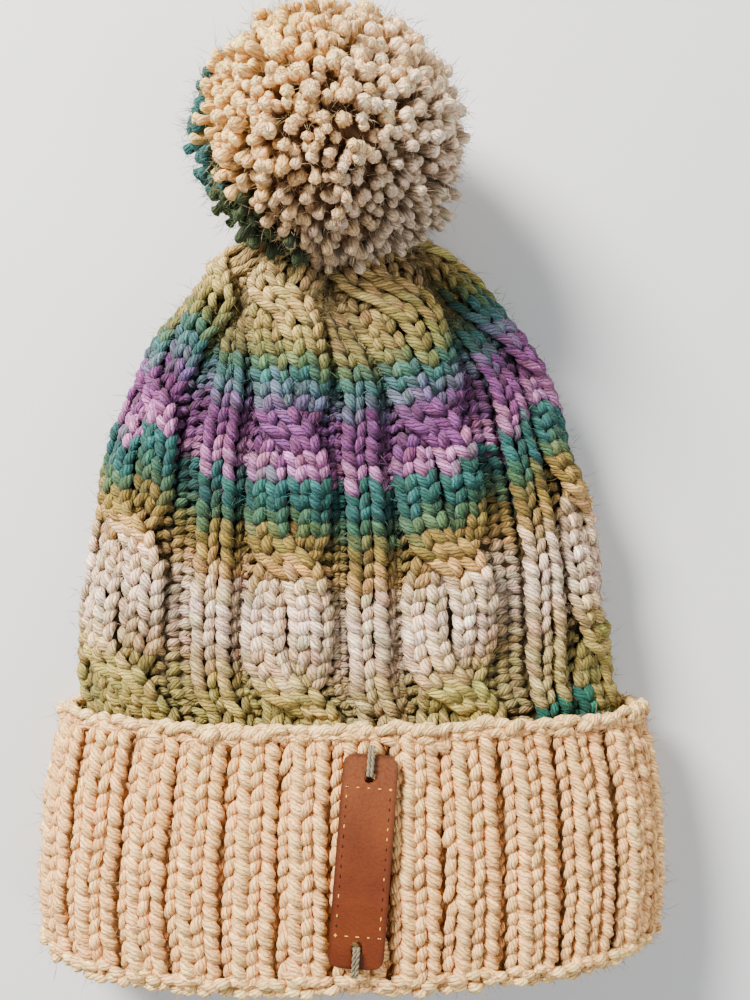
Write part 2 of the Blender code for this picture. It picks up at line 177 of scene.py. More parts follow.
# The turned-up band's path, by its length from the join inside: its fold, then its cast-on edge
EDGE_RADIUS = 0.0024
CUFF_INSIDE = JOIN - CUFF_WALL / 2
CUFF_FOLDED = CUFF_INSIDE + math.pi * CUFF_WALL / 2
CUFF_EDGE = CUFF_FOLDED + CUFF_LENGTH - EDGE_RADIUS - CUFF_WALL / 2
CUFF_END = CUFF_EDGE + EDGE_RADIUS * 2.7
EDGE_RAISE = 0.0042         # how much higher the edge stands at the hat's left

# Columns of legs in a narrow rib: place in repeats, lean, reach along the wale, depth below the relief, half
# width and half thickness. They are a bold one, a sunken one, a bold one and one turned away into the valley.
RIB_WALES = (
    (-0.092, 0.0028, 0.0066, 0.0000, 0.00188, 0.00160),
    (-0.010, -0.0018, 0.0060, 0.0008, 0.00136, 0.00130),
    (0.065, 0.0026, 0.0064, 0.0001, 0.00182, 0.00155),
    (0.128, -0.0016, 0.0052, 0.0008, 0.00135, 0.00130),
)
# Each strand of a cable has two wales of two legs: how far they lie from the strand's and from the wale's
# middle, in repeats, and the legs' lean, reach, half width and half thickness
CABLE_WALE_PLACE = 0.0660
CABLE_LEG_PLACE = 0.0330
CABLE_LEG = (0.0028, 0.0058, 0.00170, 0.00150)
CABLE_GROOVE = (0.0017, 0.050)      # depth, and half width in repeats, between strands side by side
GATHERED_CABLE = (0.95, 0.0045)     # how much wider a cable is in the gather, and how deep its edges lie
# Purl bumps: place in a repeat, half length, depth below the relief, and rows of them in a course
PURLS = (
    (-0.180, 0.045, 0.0006, 2),
    (0.180, 0.045, 0.0006, 2),
    (-0.275, 0.040, 0.0030, 1),
    (0.275, 0.040, 0.0030, 1),
)
# Rows of bumps in a course: shift in courses, slant, and further depth
PURL_ROWS = ((0.0, 0.0018, 0.0), (0.5, -0.0012, 0.0005))
# Columns of legs in a rib of the cuff, as in RIB_WALES, with the place counted from the gap on the rib's left
CUFF_WALES = (
    (0.130, -0.0020, 0.0066, -0.0003, 0.00135, 0.00135),
    (0.335, 0.0034, 0.0064, -0.0003, 0.00185, 0.00175),
    (0.570, -0.0022, 0.0062, 0.0005, 0.00145, 0.00145),
    (0.800, 0.0030, 0.0056, -0.0001, 0.00180, 0.00170),
    (0.975, -0.0008, 0.0046, 0.0005, 0.00130, 0.00125),
)
CUFF_GAP = 0.9              # wales of the cuff past this place lie in the gap, and show only outside
# The chain at the cuff's edge and the bumps at its fold: course, slant, lift, shift in links, and half length
CUFF_CHAINS = (
    (CUFF_EDGE - 0.0010, -0.0026, -0.0006, 0.0, 0.0026),
    (CUFF_EDGE + 0.0018, 0.0030, 0.0010, 0.5, 0.0028),
    (CUFF_EDGE + 0.0044, -0.0026, 0.0004, 0.2, 0.0030),
    (CUFF_FOLDED - 0.0054, 0.0020, 0.0008, 0.3, 0.0022),
    (CUFF_FOLDED - 0.0018, -0.0022, 0.0003, 0.8, 0.0022),
)
LINKS_PER_RIB = 4

# Soft pieces are squeezed below the first height, and never go below the second
PRESS_START = 0.0012
PRESSED = 0.0002
FIBRE_RADIUS = 0.000078
CROWN_FIBRES = 6400         # for each half of the crown
CUFF_FIBRES = 8200
POMPOM_FIBRES = 13600
LABEL_CLEAR = (0.0105, 0.0285)      # fibres keep this far from the label's middle, in x and in y

FLOOR_SIZE = 6.0
SKY_COLOUR = (0.92, 0.96, 1.0, 1.0)
SKY_STRENGTH = 0.27
# The camera looks straight down, as in the photo. Its focal length and sensor are in millimetres
CAMERA_PLACE = (0.00921, -0.00100, 0.32)
CAMERA_TURN = -math.radians(1.2)
CAMERA_LENS = 38.16
SENSOR = 36.0
# Name, place, size, share of the lamp power, and colour
LAMPS = (
    ("key", (-0.56, 0.66, 0.64), 0.40, 1.0, (1.0, 0.98, 0.95)),
    ("fill", (0.6, -0.4, 0.8), 0.8, 0.17, (0.92, 0.96, 1.0)),
)

# Where the pieces lie round the hat as seen from above: an even place, and the place it is moved to. Both run
# to the right. The unit is one repeat of the crown, counted from its front rib, or one rib of the cuff.
CROWN_SPREAD = (
    (-4.00, -3.97), (-2.14, -2.24), (-1.86, -1.96), (-1.78, -1.904), (-1.22, -1.268), (-1.14, -1.082),
    (-0.86, -0.786), (-0.78, -0.735), (-0.22, -0.174), (-0.14, -0.082), (0.14, 0.209), (0.22, 0.265),
    (0.78, 0.871), (0.86, 1.068), (1.14, 1.385), (1.22, 1.409), (1.78, 1.99), (1.86, 2.04), (2.14, 2.32),
    (4.00, 4.03),
)
CUFF_SPREAD = (
    (-13, -12.9), (-5, -4.75), (-4, -3.65), (-3, -2.76), (-2, -1.81), (-1, -0.86), (0, 0.04), (1, 1.05),
    (2, 1.95), (3, 3.02), (4, 4.06), (5, 5.15), (6, 6.1), (13, 13.1),
)

# Bands of the self-striping yarn: place along the front's middle, colour
BANDS = (
    (0.0560, "8F8040"),
    (0.0690, "A3924E"),
    (0.0745, "9A8744"),
    (0.0780, "B79A66"),
    (0.0820, "D0AE88"),
    (0.0920, "EBCFB5"),
    (0.1020, "E0BE98"),
    (0.1060, "BF9558"),
    (0.1110, "8C7232"),
    (0.1165, "766530"),
    (0.1180, "4C6440"),
    (0.1228, "305644"),
    (0.1238, "22504C"),
    (0.1316, "2A5E5A"),
    (0.1324, "AE76A4"),
    (0.1375, "AE6C9A"),
    (0.1392, "743E70"),
    (0.1490, "663664"),
    (0.1510, "665678"),
    (0.1545, "4A5F68"),
    (0.1590, "2F605C"),
    (0.1622, "4A6648"),
    (0.1655, "7E7840"),
    (0.1715, "A68F50"),
    (0.1850, "BE9F66"),
    (0.2100, "B4945A"),
)
# How much further up than their rows the bands lie, at places round the crown as they are moved
BAND_RISE = (
    (-4.0, 0.0040), (-2.3, 0.0040), (-1.6, 0.0050), (-0.95, 0.0070), (-0.5, 0.0042), (0.0, 0.0),
    (0.55, 0.0030), (0.97, 0.0060), (1.6, 0.0060), (4.0, 0.0040),
)


def linear(code):
    """A hex colour as three linear values."""
    value = np.array([int(code[i:i + 2], 16) for i in (0, 2, 4)]) / 255
    return np.where(value <= 0.04045, value / 12.92, ((value + 0.055) / 1.055) ** 2.4)


def smooth_between(xs, ys, x):
    """A cubic through a table's points that never overshoots them."""
    xs, ys, x = np.asarray(xs, float), np.asarray(ys, float), np.asarray(x, float)
    step = np.diff(xs)
    slope = np.diff(ys) / step
    before, after = slope[:-1], slope[1:]
    same_way = before * after > 0
    inner = np.where(same_way, 2 * before * after / np.where(same_way, before + after, 1), 0)
    tangent = np.concatenate([slope[:1], inner, slope[-1:]])
    i = np.clip(np.searchsorted(xs, x, side="right") - 1, 0, len(step) - 1)
    t = np.clip((x - xs[i]) / step[i], 0, 1)
    return (
        (1 + 2 * t) * (1 - t) ** 2 * ys[i]
        + t * (1 - t) ** 2 * step[i] * tangent[i]
        + t * t * (3 - 2 * t) * ys[i + 1]
        - t * t * (1 - t) * step[i] * tangent[i + 1]
    )


def smoothstep(t):
    """Rises from 0 to 1 as t does, level at both ends, by three times its square less twice its cube."""
    t = np.clip(t, 0, 1)
    return t * t * (3 - 2 * t)


def settled(points):
    """Points pressed on to the floor: heights below PRESS_START are squeezed, in order, to above PRESSED."""
    z = points[..., 2:]
    scale = PRESS_START - PRESSED
    low = PRESSED + scale * np.exp(np.minimum((z - PRESS_START) / scale, 0))
    return np.concatenate([points[..., :2], np.where(z < PRESS_START, low, z)], axis=-1)


def section_at(rows, y):
    """The middle, half width, bottom, top and corner of the section at y."""
    table = np.array(rows)
    return [float(smooth_between(table[:, 0], table[:, k], y)) for k in range(1, 6)]


def inset_row(rows, y, inset):
    """A row of a section table that lies inside the section at y by the same amount all round."""
    middle, half_width, bottom, top, corner = section_at(rows, y)
    return (y, middle, half_width - inset, bottom + inset, top - inset, corner - inset)


CROWN_SECTIONS = (
    inset_row(CUFF_SECTIONS, JOIN, LAYER + LAYER_GAP),
    inset_row(CUFF_SECTIONS, CUFF_LENGTH, LAYER + LAYER_GAP),
) + FREE_CROWN_SECTIONS
HOLLOW_SECTIONS = (
    inset_row(CUFF_SECTIONS, JOIN, CUFF_WALL),
    inset_row(CUFF_SECTIONS, CUFF_LENGTH, CUFF_WALL),
) + FREE_HOLLOW_SECTIONS


def outline(rows, y, turns, depth):
    """Points round the section at y, an ellipse carried outwards by a disc and then inwards by depth.

    turns runs from 0 at the middle of the underside, through 0.25 at +X and 0.5 at the top, in equal lengths.
    """
    middle, half_width, bottom, top, corner = section_at(rows, y)
    across = half_width - corner
    rise = top - bottom - 2 * corner
    up, down = rise * ARCH_SHARE, rise * (1 - ARCH_SHARE)
    belt = bottom + corner + down

    def points(angle, out):
        """x and z at an angle of the ellipse, carried outwards by out."""
        height = np.where(np.sin(angle) >= 0, up, down)
        nx, nz = height * np.cos(angle), across * np.sin(angle)
        size = np.hypot(nx, nz)
        return (
            middle + across * np.cos(angle) + out * nx / size,
            belt + height * np.sin(angle) + out * nz / size,
        )

    even = np.linspace(-0.5 * math.pi, 1.5 * math.pi, 1441)
    height = np.where(np.sin(even) >= 0, up, down)
    turned = np.unwrap(np.arctan2(height * np.sin(even), across * np.cos(even)))
    angles = np.unique(np.clip(np.concatenate([even, turned]), even[0], even[-1]))
    x, z = points(angles, corner)
    length = np.concatenate([[0], np.cumsum(np.hypot(np.diff(x), np.diff(z)))])
    chosen = np.interp(np.mod(turns, 1.0) * length[-1], length, angles)
    x, z = points(chosen, corner - depth)
    lift = CORNER_LIFT * max(0.0, 1 - y / CORNER_LIFT_END) * ((x - middle) / half_width) ** 4
    return np.column_stack([x, y + lift, z - FLOOR_PRESS]) + TO_ROW_FRAME


def on_label(across, along, height):
    """Points from the label's middle: across it, along it, and above the middle of its thickness."""
    x = LABEL_CENTRE[0] + across * math.cos(LABEL_TURN) - along * math.sin(LABEL_TURN)
    y = LABEL_CENTRE[1] + across * math.sin(LABEL_TURN) + along * math.cos(LABEL_TURN)
    table = np.array(CUFF_SECTIONS)
    top = smooth_between(table[:, 0], table[:, 4], y) - FLOOR_PRESS
    z = top + SEAT_GAP + LABEL_THICKNESS / 2 + height
    return np.stack(np.broadcast_arrays(x, y, z), axis=-1) + TO_ROW_FRAME


def edge_raised(points):
    """Points of the cuff, whose edge stands higher at the hat's left, by EDGE_RAISE at most."""
    share = smoothstep((points[..., 1] - TO_ROW_FRAME[1] - 0.030) / 0.038)
    left = np.clip(-points[..., 0] / 0.083, 0, 1) ** 2
    raised = points.copy()
    raised[..., 1] += EDGE_RAISE * share * left
    return raised


class Cloth:
    """A smooth surface that stitches are laid on: a grid of points and of outward directions.

    Its two parameters are the course, a length along the wales, and the turn, once round the hat.
    """

    COLUMNS = 720

    def __init__(self, course, rows, ys, depths):
        """Lays the surface out: for each course, the section's row, its y and its depth below the outline."""
        turns = np.arange(self.COLUMNS) / self.COLUMNS
        self.course = np.asarray(course, float)
        self.points = np.stack([outline(rows, y, turns, depth) for y, depth in zip(ys, depths)])
        if rows is CUFF_SECTIONS:
            self.points = edge_raised(self.points)
        along = np.gradient(self.points, self.course, axis=0)
        around = np.roll(self.points, -1, axis=1) - np.roll(self.points, 1, axis=1)
        normal = np.cross(along, around)
        self.normals = normal / np.linalg.norm(normal, axis=-1, keepdims=True)
        self.around = around / np.linalg.norm(around, axis=-1, keepdims=True)
        self.lengths = np.linalg.norm(np.roll(self.points, -1, axis=1) - self.points, axis=-1).sum(axis=1)

    def girth(self, course):
        """Length once round the surface."""
        return np.interp(course, self.course, self.lengths)

    def at(self, course, turn):
        """Points, outward directions and directions of rising turn, by linear interpolation in the grid."""
        row = np.interp(course, self.course, np.arange(len(self.course)))
        column = np.mod(turn, 1.0) * self.COLUMNS
        r0 = np.clip(row.astype(int), 0, len(self.course) - 2)
        c0 = column.astype(int) % self.COLUMNS
        c1 = (c0 + 1) % self.COLUMNS
        fr, fc = (row - r0)[..., None], (column - column.astype(int))[..., None]
        found = []
        for grid in (self.points, self.normals, self.around):
            low = grid[r0, c0] * (1 - fc) + grid[r0, c1] * fc
            high = grid[r0 + 1, c0] * (1 - fc) + grid[r0 + 1, c1] * fc
            found.append(low * (1 - fr) + high * fr)
        return found


def linked(mesh, colours):
    """An object for a mesh, smooth and with a colour for each vertex, in the scene."""
    colour = mesh.color_attributes.new("tint", "FLOAT_COLOR", "POINT")
    rgba = np.concatenate([colours, np.ones(colours.shape[:-1] + (1,))], axis=-1)
    colour.data.foreach_set("color", rgba.astype(np.float32).ravel())
    mesh.validate()
    mesh.shade_smooth()
    made = bpy.data.objects.new(mesh.name, mesh)
    bpy.context.scene.collection.objects.link(made)
    return made


def joined_mesh(name, points, faces, uv, colours):
    """One object from many like pieces.

    points is pieces x vertices x 3, faces the corner lists of one piece, uv pieces x corners x 2, and colours
    pieces x vertices x 3.
    """
    pieces, count = points.shape[:2]
    points = settled(points)
    corners = np.array([c for face in faces for c in face])
    sizes = np.array([len(face) for face in faces])
    starts = np.concatenate([[0], np.cumsum(sizes)[:-1]])
    offset = np.arange(pieces)
    mesh = bpy.data.meshes.new(name)
    mesh.vertices.add(pieces * count)
    mesh.vertices.foreach_set("co", points.astype(np.float32).ravel())
    mesh.loops.add(pieces * len(corners))
    mesh.loops.foreach_set("vertex_index", (corners + offset[:, None] * count).astype(np.int32).ravel())
    mesh.polygons.add(pieces * len(faces))
    mesh.polygons.foreach_set(
        "loop_start", (starts + offset[:, None] * len(corners)).astype(np.int32).ravel()
    )
    mesh.update(calc_edges=True)
    layer = mesh.uv_layers.new(name="yarn")
    layer.data.foreach_set("uv", uv.astype(np.float32).ravel())
    return linked(mesh, colours)


def tubes(line, side, outward, half_width, half_height, sides):
    """Closed tapering tubes, as points, faces and uv for joined_mesh.

    line holds each tube's centre line, pieces x stations x 3, whose first and last stations are its two
    poles. At each station between them a ring is the sum of side times half_width times the cosine and
    outward times half_height times the sine of an angle. u is the length along the line in units of the ply
    spacing, and v goes once round in PLIES steps.
    """
    pieces, stations = line.shape[:2]
    rings = stations - 2
    angle = np.arange(sides) / sides * 2 * math.pi
    ring = (
        line[:, 1:-1, None]
        + (side * half_width[..., None])[:, :, None] * np.cos(angle)[:, None]
        + (outward * half_height[..., None])[:, :, None] * np.sin(angle)[:, None]
    )
    points = np.concatenate([ring.reshape(pieces, -1, 3), line[:, :1], line[:, -1:]], axis=1)
    length = np.linalg.norm(np.diff(line, axis=1), axis=-1)
    along = np.concatenate([np.zeros((pieces, 1)), np.cumsum(length, axis=1)], axis=1) / PLY_SPACING
    first, last = rings * sides, rings * sides + 1
    faces, u_station, v_step = [], [], []
    for r in range(rings - 1):
        for k in range(sides):
            n = (k + 1) % sides
            faces.append((r * sides + k, (r + 1) * sides + k, (r + 1) * sides + n, r * sides + n))
            u_station += [r + 1, r + 2, r + 2, r + 1]
            v_step += [k, k, k + 1, k + 1]
    for k in range(sides):
        n = (k + 1) % sides
        faces.append((k, n, first))
        u_station += [1, 1, 0]
        v_step += [k, k + 1, k + 0.5]
    for k in range(sides):
        n = (k + 1) % sides
        faces.append(((rings - 1) * sides + n, (rings - 1) * sides + k, last))
        u_station += [rings, rings, rings + 1]
        v_step += [k + 1, k, k + 0.5]
    offset = YARN_STEP * np.random.default_rng(pieces).integers(0, 64, (pieces, 1))
    u = along[:, u_station] + offset
    v = np.broadcast_to(np.array(v_step) / sides * PLIES, u.shape)
    return points, faces, np.stack([u, v], axis=-1)


def frames_along(line, helper):
    """Directions to the side, square to the helper, and outwards, at every station between the poles."""
    tangent = np.gradient(line, axis=1)
    tangent /= np.linalg.norm(tangent, axis=-1, keepdims=True) + 1e-12
    side = np.cross(tangent, helper)
    side /= np.linalg.norm(side, axis=-1, keepdims=True) + 1e-12
    outward = np.cross(side, tangent)
    return side[:, 1:-1], outward[:, 1:-1]


def legs_on(cloth, course, turn, height, half_width, half_height):
    """Tubes laid on a cloth. Each argument is pieces x stations, with the two poles first and last."""
    base, normal, _ = cloth.at(course, turn)
    line = base + normal * height[..., None]
    side, outward = frames_along(line, normal)
    return line, side, outward, half_width[:, 1:-1], half_height[:, 1:-1]


def wander(places, seed, count):
    """Smooth noise between -1 and 1 round a circle of count steps, at places from 0 to 1."""
    values = np.random.default_rng(seed).uniform(-1, 1, count)
    spot = np.mod(places, 1.0) * count
    low = np.floor(spot).astype(int)
    share = smoothstep(spot - low)
    return values[low % count] * (1 - share) + values[(low + 1) % count] * share


def band_colour(place):
    """The yarn's colour at a place along the front's middle."""
    stops = np.array([stop for stop, _ in BANDS])
    codes = np.array([linear(code) for _, code in BANDS])
    return np.stack([np.interp(place, stops, codes[:, k]) for k in range(3)], axis=-1)


def side_rise(turn, y):
    """How much higher than at the front's middle a row of the crown lies."""
    sideways = 0.5 - 0.5 * np.cos(4 * math.pi * (turn - 0.5))
    return SIDE_RISE * sideways ** 2.3 * (0.55 + 0.45 * smoothstep((y - 0.07) / 0.05))


def moved_place(turn):
    """The place round the crown, in repeats to the right of its front rib as it is moved, at a turn."""
    return np.mod(REPEAT_PHASE - (turn - 0.5) * CROWN_REPEATS + 4, CROWN_REPEATS) - 4


def band_rise(turn):
    """How much further up than its row the yarn's bands lie at a turn."""
    even, rise = np.array(BAND_RISE).T
    return smooth_between(even, rise, moved_place(turn))


def gathered(y):
    """How far the crown is gathered at y, from 0 to 1."""
    return smoothstep((y - GATHER_START) / (GATHER_END - GATHER_START))


def repeat_place(place, y):
    """Where a place in a repeat goes, and its depth, allowing for the gather at the top."""
    gather = gathered(y)
    nominal, depth, drawn_in, drawn_depth = np.array(HALF_REPEAT).T
    turned = np.mod(place + 0.5, 1.0) - 0.5
    size = np.abs(turned)
    moved = size + (np.interp(size, nominal, drawn_in) - size) * gather
    sunk = smooth_between(nominal, depth, size) * (1 - gather)
    sunk = sunk + smooth_between(nominal, drawn_depth, size) * gather
    calm = np.clip((CROWN_TIP - y) / CALM_END, 0, 1) * np.interp(y, (0.070, 0.084), (0.45, 1.0))
    return place - turned + np.sign(turned) * moved, sunk * calm


def shifted(place, y):
    """A place round the crown, pulled to the left in front where the crown is gathered."""
    return place - GATHER_SHIFT * gathered(y) * np.exp(-(place / 1.3) ** 2)


def crown_cloth():
    """The crown's outer surface without its relief."""
    ys = np.concatenate([
        np.linspace(JOIN + SEAT_GAP, 0.19, 150), np.linspace(0.1905, CROWN_TIP - 0.0002, 45)
    ])
    return Cloth(ys, CROWN_SECTIONS, ys, np.zeros(len(ys)))


def cuff_path(course):
    """y and depth along the turned-up band: down inside, round the fold, up its outside, over its edge."""
    fold = CUFF_WALL / 2
    angle = np.clip((course - CUFF_INSIDE) / fold, 0, math.pi)
    y = np.where(course < CUFF_INSIDE, JOIN - course, fold - fold * np.sin(angle))
    y = np.where(course > CUFF_FOLDED, fold + course - CUFF_FOLDED, y)
    over = np.clip((course - CUFF_EDGE) / EDGE_RADIUS, 0, math.pi)
    y = np.where(course > CUFF_EDGE, CUFF_LENGTH - EDGE_RADIUS + EDGE_RADIUS * np.sin(over), y)
    depth = fold + fold * np.cos(angle) + EDGE_RADIUS - EDGE_RADIUS * np.cos(over)
    return y, depth


def cuff_cloth():
    """The cuff's surface without its ribs, from the join inside to the cast-on edge outside."""
    course = np.linspace(0, CUFF_END, 240)
    ys, depths = cuff_path(course)
    return Cloth(course, CUFF_SECTIONS, ys, depths)


class Form:
    """How a stitch's tube is cut up: stations along it, its width and painted light at each, and its sides.
    """

    def __init__(self, stations, shape, light, sides):
        """stations run from 0 to 1, and the first and last of each list are the tube's two poles."""
        self.stations, self.shape, self.light = np.array(stations)[None, :], np.array(shape), light
        self.sides, self.middle = sides, len(shape) // 2


# Each form's light is painted: painted shade at a stitch's two ends, where its neighbours cover it, and a
# painted highlight in its middle.
FINE = Form(
    (0.0, 0.06, 0.24, 0.46, 0.68, 0.88, 1.0), (0.0, 0.66, 0.96, 1.0, 0.93, 0.62, 0.0),
    (0.22, 0.42, 0.90, 1.16, 1.08, 0.60, 0.28), 6,
)
COARSE = Form((0.0, 0.14, 0.5, 0.86, 1.0), (0.0, 0.78, 1.0, 0.78, 0.0), (0.4, 0.7, 1.05, 0.7, 0.4), 5)


class Knitter:
    """Collects stitches laid on a cloth, with the turn, colour course and height of each."""

    def __init__(self, cloth, seed, plain_girth):
        """Stitches have their full size where the cloth's girth is plain_girth."""
        self.cloth = cloth
        self.rng = np.random.default_rng(seed)
        self.plain_girth = plain_girth
        self.parts, self.places = {FINE: [], COARSE: []}, {FINE: [], COARSE: []}

    def add(self, form, course, turn, high, width, thick, colour_course):
        """Lays tubes of a form, given by course, turn and height at each station, and notes their places."""
        laid = legs_on(self.cloth, course, turn, high, width * form.shape, thick * form.shape)
        self.parts[form].append(laid)
        middle = form.middle
        self.places[form].append(np.column_stack([turn[:, middle], colour_course, high[:, middle]]))

    def legs(self, form, course, turn_of, height_of, lean, reach, width, thick, colour_course, ease=0.8):
        """One column of legs of knit stitches.

        A leg runs up its wale by reach and leans by lean, to the left at its upper end. turn_of and height_of
        give the wale's turn and its height over the cloth at a course. Both ends droop under the neighbours.
        ease says how much smaller stitches get where the hat narrows.
        """
        rng, count = self.rng, len(course)
        t = form.stations
        squeeze = (self.cloth.girth(course) / self.plain_girth) ** ease
        size = (squeeze * rng.uniform(0.88, 1.12, count))[:, None]
        slant = lean * rng.uniform(0.65, 1.3, count) * squeeze
        tall = reach * rng.uniform(0.88, 1.12, count)
        at = (course + rng.normal(0, 0.00030, count))[:, None] + tall[:, None] * (t - 0.5)
        aside = rng.normal(0, 0.00022, count)[:, None] + slant[:, None] * (t - 0.5)
        turn = turn_of(at) + aside / self.cloth.girth(at)
        bow = -0.0011 * smoothstep((0.38 - t) / 0.38) - 0.0015 * smoothstep((t - 0.52) / 0.48)
        high = height_of(at) - thick * size + bow + rng.normal(0, 0.00022, count)[:, None]
        self.add(form, at, turn, high, width * size, thick * size, colour_course)

    def bars(self, form, course, turn, half, bow, height, arch_height, width, thick, colour_course, slant):
        """Tubes across the wale, purl bumps and chain stitches. half is half a tube's length."""
        rng, count = self.rng, len(course)
        t = form.stations
        half = np.broadcast_to(half, count) * rng.uniform(0.92, 1.1, count)
        arch = 1 - (2 * t - 1) ** 2
        at = (course + rng.normal(0, 0.00035, count))[:, None] + bow * (arch - 0.5) + slant * (t - 0.5)
        size = rng.uniform(0.92, 1.08, count)[:, None]
        turns = turn[:, None] - (t - 0.5) * 2 * half[:, None] / self.cloth.girth(at)
        high = height[:, None] - thick * size + arch_height * (arch - 1)
        high = high + rng.normal(0, 0.00015, count)[:, None]
        self.add(form, at, turns, high, width * size, thick * size, colour_course)

    def done(self, form):
        """All stitches of a form: the form, their arguments for tubes, and their places."""
        parts = [np.concatenate(part) for part in zip(*self.parts[form])]
        return form, parts, np.concatenate(self.places[form])


def spread(table, place, period):
    """Moves an even place round the hat to where the table has it."""
    even, moved = np.array(table, float).T
    whole = np.floor((place - even[0]) / period) * period
    return np.interp(place - whole, even, moved) + whole


def crown_turn(place):
    """The turn of a place round the crown, in repeats to the right of its front rib."""
    return 0.5 + (REPEAT_PHASE - spread(CROWN_SPREAD, place, CROWN_REPEATS)) / CROWN_REPEATS


def cuff_turn(place):
    """The turn of a place round the cuff, in ribs to the right of the gap that the label's edge hides."""
    return 0.5 + (RIB_PHASE - spread(CUFF_SPREAD, place, CUFF_RIBS)) / CUFF_RIBS


def cable_place(at, rise, middle, right, strand):
    """A strand's place and side: it stays on one side, then slants across, and its wales keep their width.

    The way across is the hyperbolic tangent of a sine of the course. The side is the sine's cosine: above
    nothing the strand passes over the other, and below nothing under it. A strand of 0 stays in the middle.
    """
    phase = math.pi * (at - rise[:, None] - CABLE_CROSSING) / CABLE_PERIOD
    flat = math.tanh(CABLE_HASTE)
    cross = -np.tanh(CABLE_HASTE * np.sin(phase)) / flat
    steep = CABLE_HASTE * (1 - (cross * flat) ** 2) * np.abs(np.cos(phase)) * math.pi / CABLE_PERIOD
    wide = np.clip(np.hypot(1, abs(strand) * CABLE_REACH * REPEAT_WIDTH * steep) * 0.9, 1.0, 1.6)
    apart = CABLE_REACH * (1 + 0.09 * np.sin(phase) ** 2)
    return middle + right * wide + strand * apart * cross, strand * np.cos(phase)


def wale_place(at, rise, middle, right, strand):
    """Place, depth and side of a wale. Cables spread where the crown is gathered, and hide its ribs."""
    place, over = cable_place(at, rise, middle, right, strand)
    moved, sunk = repeat_place(place, at)
    if strand:
        gather = gathered(at)
        more, edge_depth = GATHERED_CABLE
        deep, half_width = CABLE_GROOVE
        wide = 0.5 + (place - 0.5) * (1 + more * gather)
        moved = moved + (wide - moved) * gather
        groove = deep * np.exp(-((place - 0.5) / half_width) ** 2) * (1 - over ** 2)
        sunk = sunk + (edge_depth * np.abs(2 * wide - 1) ** 4 - sunk) * gather + groove * (1 - gather)
    return moved, sunk, over


def crown_rows(place, shift=0.0, top=0.0030):
    """Courses of the rows at a place that show, how far each is raised, and its course for the colour."""
    turn = crown_turn(place)
    plain = JOIN - HIDDEN_ROWS * COURSE + (np.arange(CROWN_ROWS) + shift) * COURSE
    rise = side_rise(turn, plain)
    keep = (plain + rise > JOIN + 0.0008) & (plain + rise < CROWN_TIP - top)
    return (plain + rise)[keep], rise[keep], plain[keep]


def knit_crown_wale(knitter, repeat, middle, right, lean, reach, lower, width, thick, strand=0):
    """One column of legs. right is its place, to the right of the middle of its rib or of its strand."""
    course, rise, plain = crown_rows(repeat + middle + right)

    def turn_of(at):
        """The wale's turn at a course."""
        return crown_turn(shifted(repeat + wale_place(at, rise, middle, right, strand)[0], at))

    def height_of(at):
        """The wale's height over the cloth at a course."""
        _, sunk, over = wale_place(at, rise, middle, right, strand)
        return -sunk - lower + np.where(over > 0, 0.0011, 0.0017) * over * (strand != 0)

    knitter.legs(FINE, course, turn_of, height_of, lean, reach, width, thick, plain, 0.35 if strand else 0.8)


def knit_crown_purls(knitter, repeat, middle, reach, lower, shift, slant, deeper):
    """One column of purl bumps. Each bump is two short tubes that meet in a peak."""
    course, _, plain = crown_rows(repeat + middle, shift, 0.0036)
    _, sunk = repeat_place(middle + 0 * course, course)
    edges = [repeat_place(middle + step + 0 * course, course)[0] for step in (-reach, reach)]
    left, right = (crown_turn(shifted(repeat + edge, course)) for edge in edges)
    quarter = np.abs(left - right) / 4
    half = quarter * knitter.cloth.girth(course) + 0.0004
    for side in (-1, 1):
        knitter.bars(
            COARSE, course, (left + right) / 2 - side * quarter, half, 0.0003, -sunk * 0.92 - lower - deeper,
            0.0008, 0.00140, 0.00130, plain, -side * slant * knitter.rng.uniform(0.5, 1.5, (len(course), 1)),
        )


def knit_crown_stitches(cloth):
    """Every leg and purl bump of the crown."""
    knitter = Knitter(cloth, 11, CROWN_GIRTH)
    lean, reach, width, thick = CABLE_LEG
    for repeat in range(-CROWN_REPEATS // 2, CROWN_REPEATS // 2):
        for right, *leg in RIB_WALES:
            knit_crown_wale(knitter, repeat, 0.0, right, *leg)
        for strand in (-1, 1):
            for side in (-1, 1):
                for leg in (-1, 1):
                    right, slant = side * CABLE_WALE_PLACE + leg * CABLE_LEG_PLACE, -leg * lean
                    knit_crown_wale(knitter, repeat, 0.5, right, slant, reach, 0.0, width, thick, strand)
        for middle, bump_reach, lower, count in PURLS:
            for shift, slant, deeper in PURL_ROWS[:count]:
                knit_crown_purls(knitter, repeat, middle, bump_reach, lower, shift, slant, deeper)
    return knitter


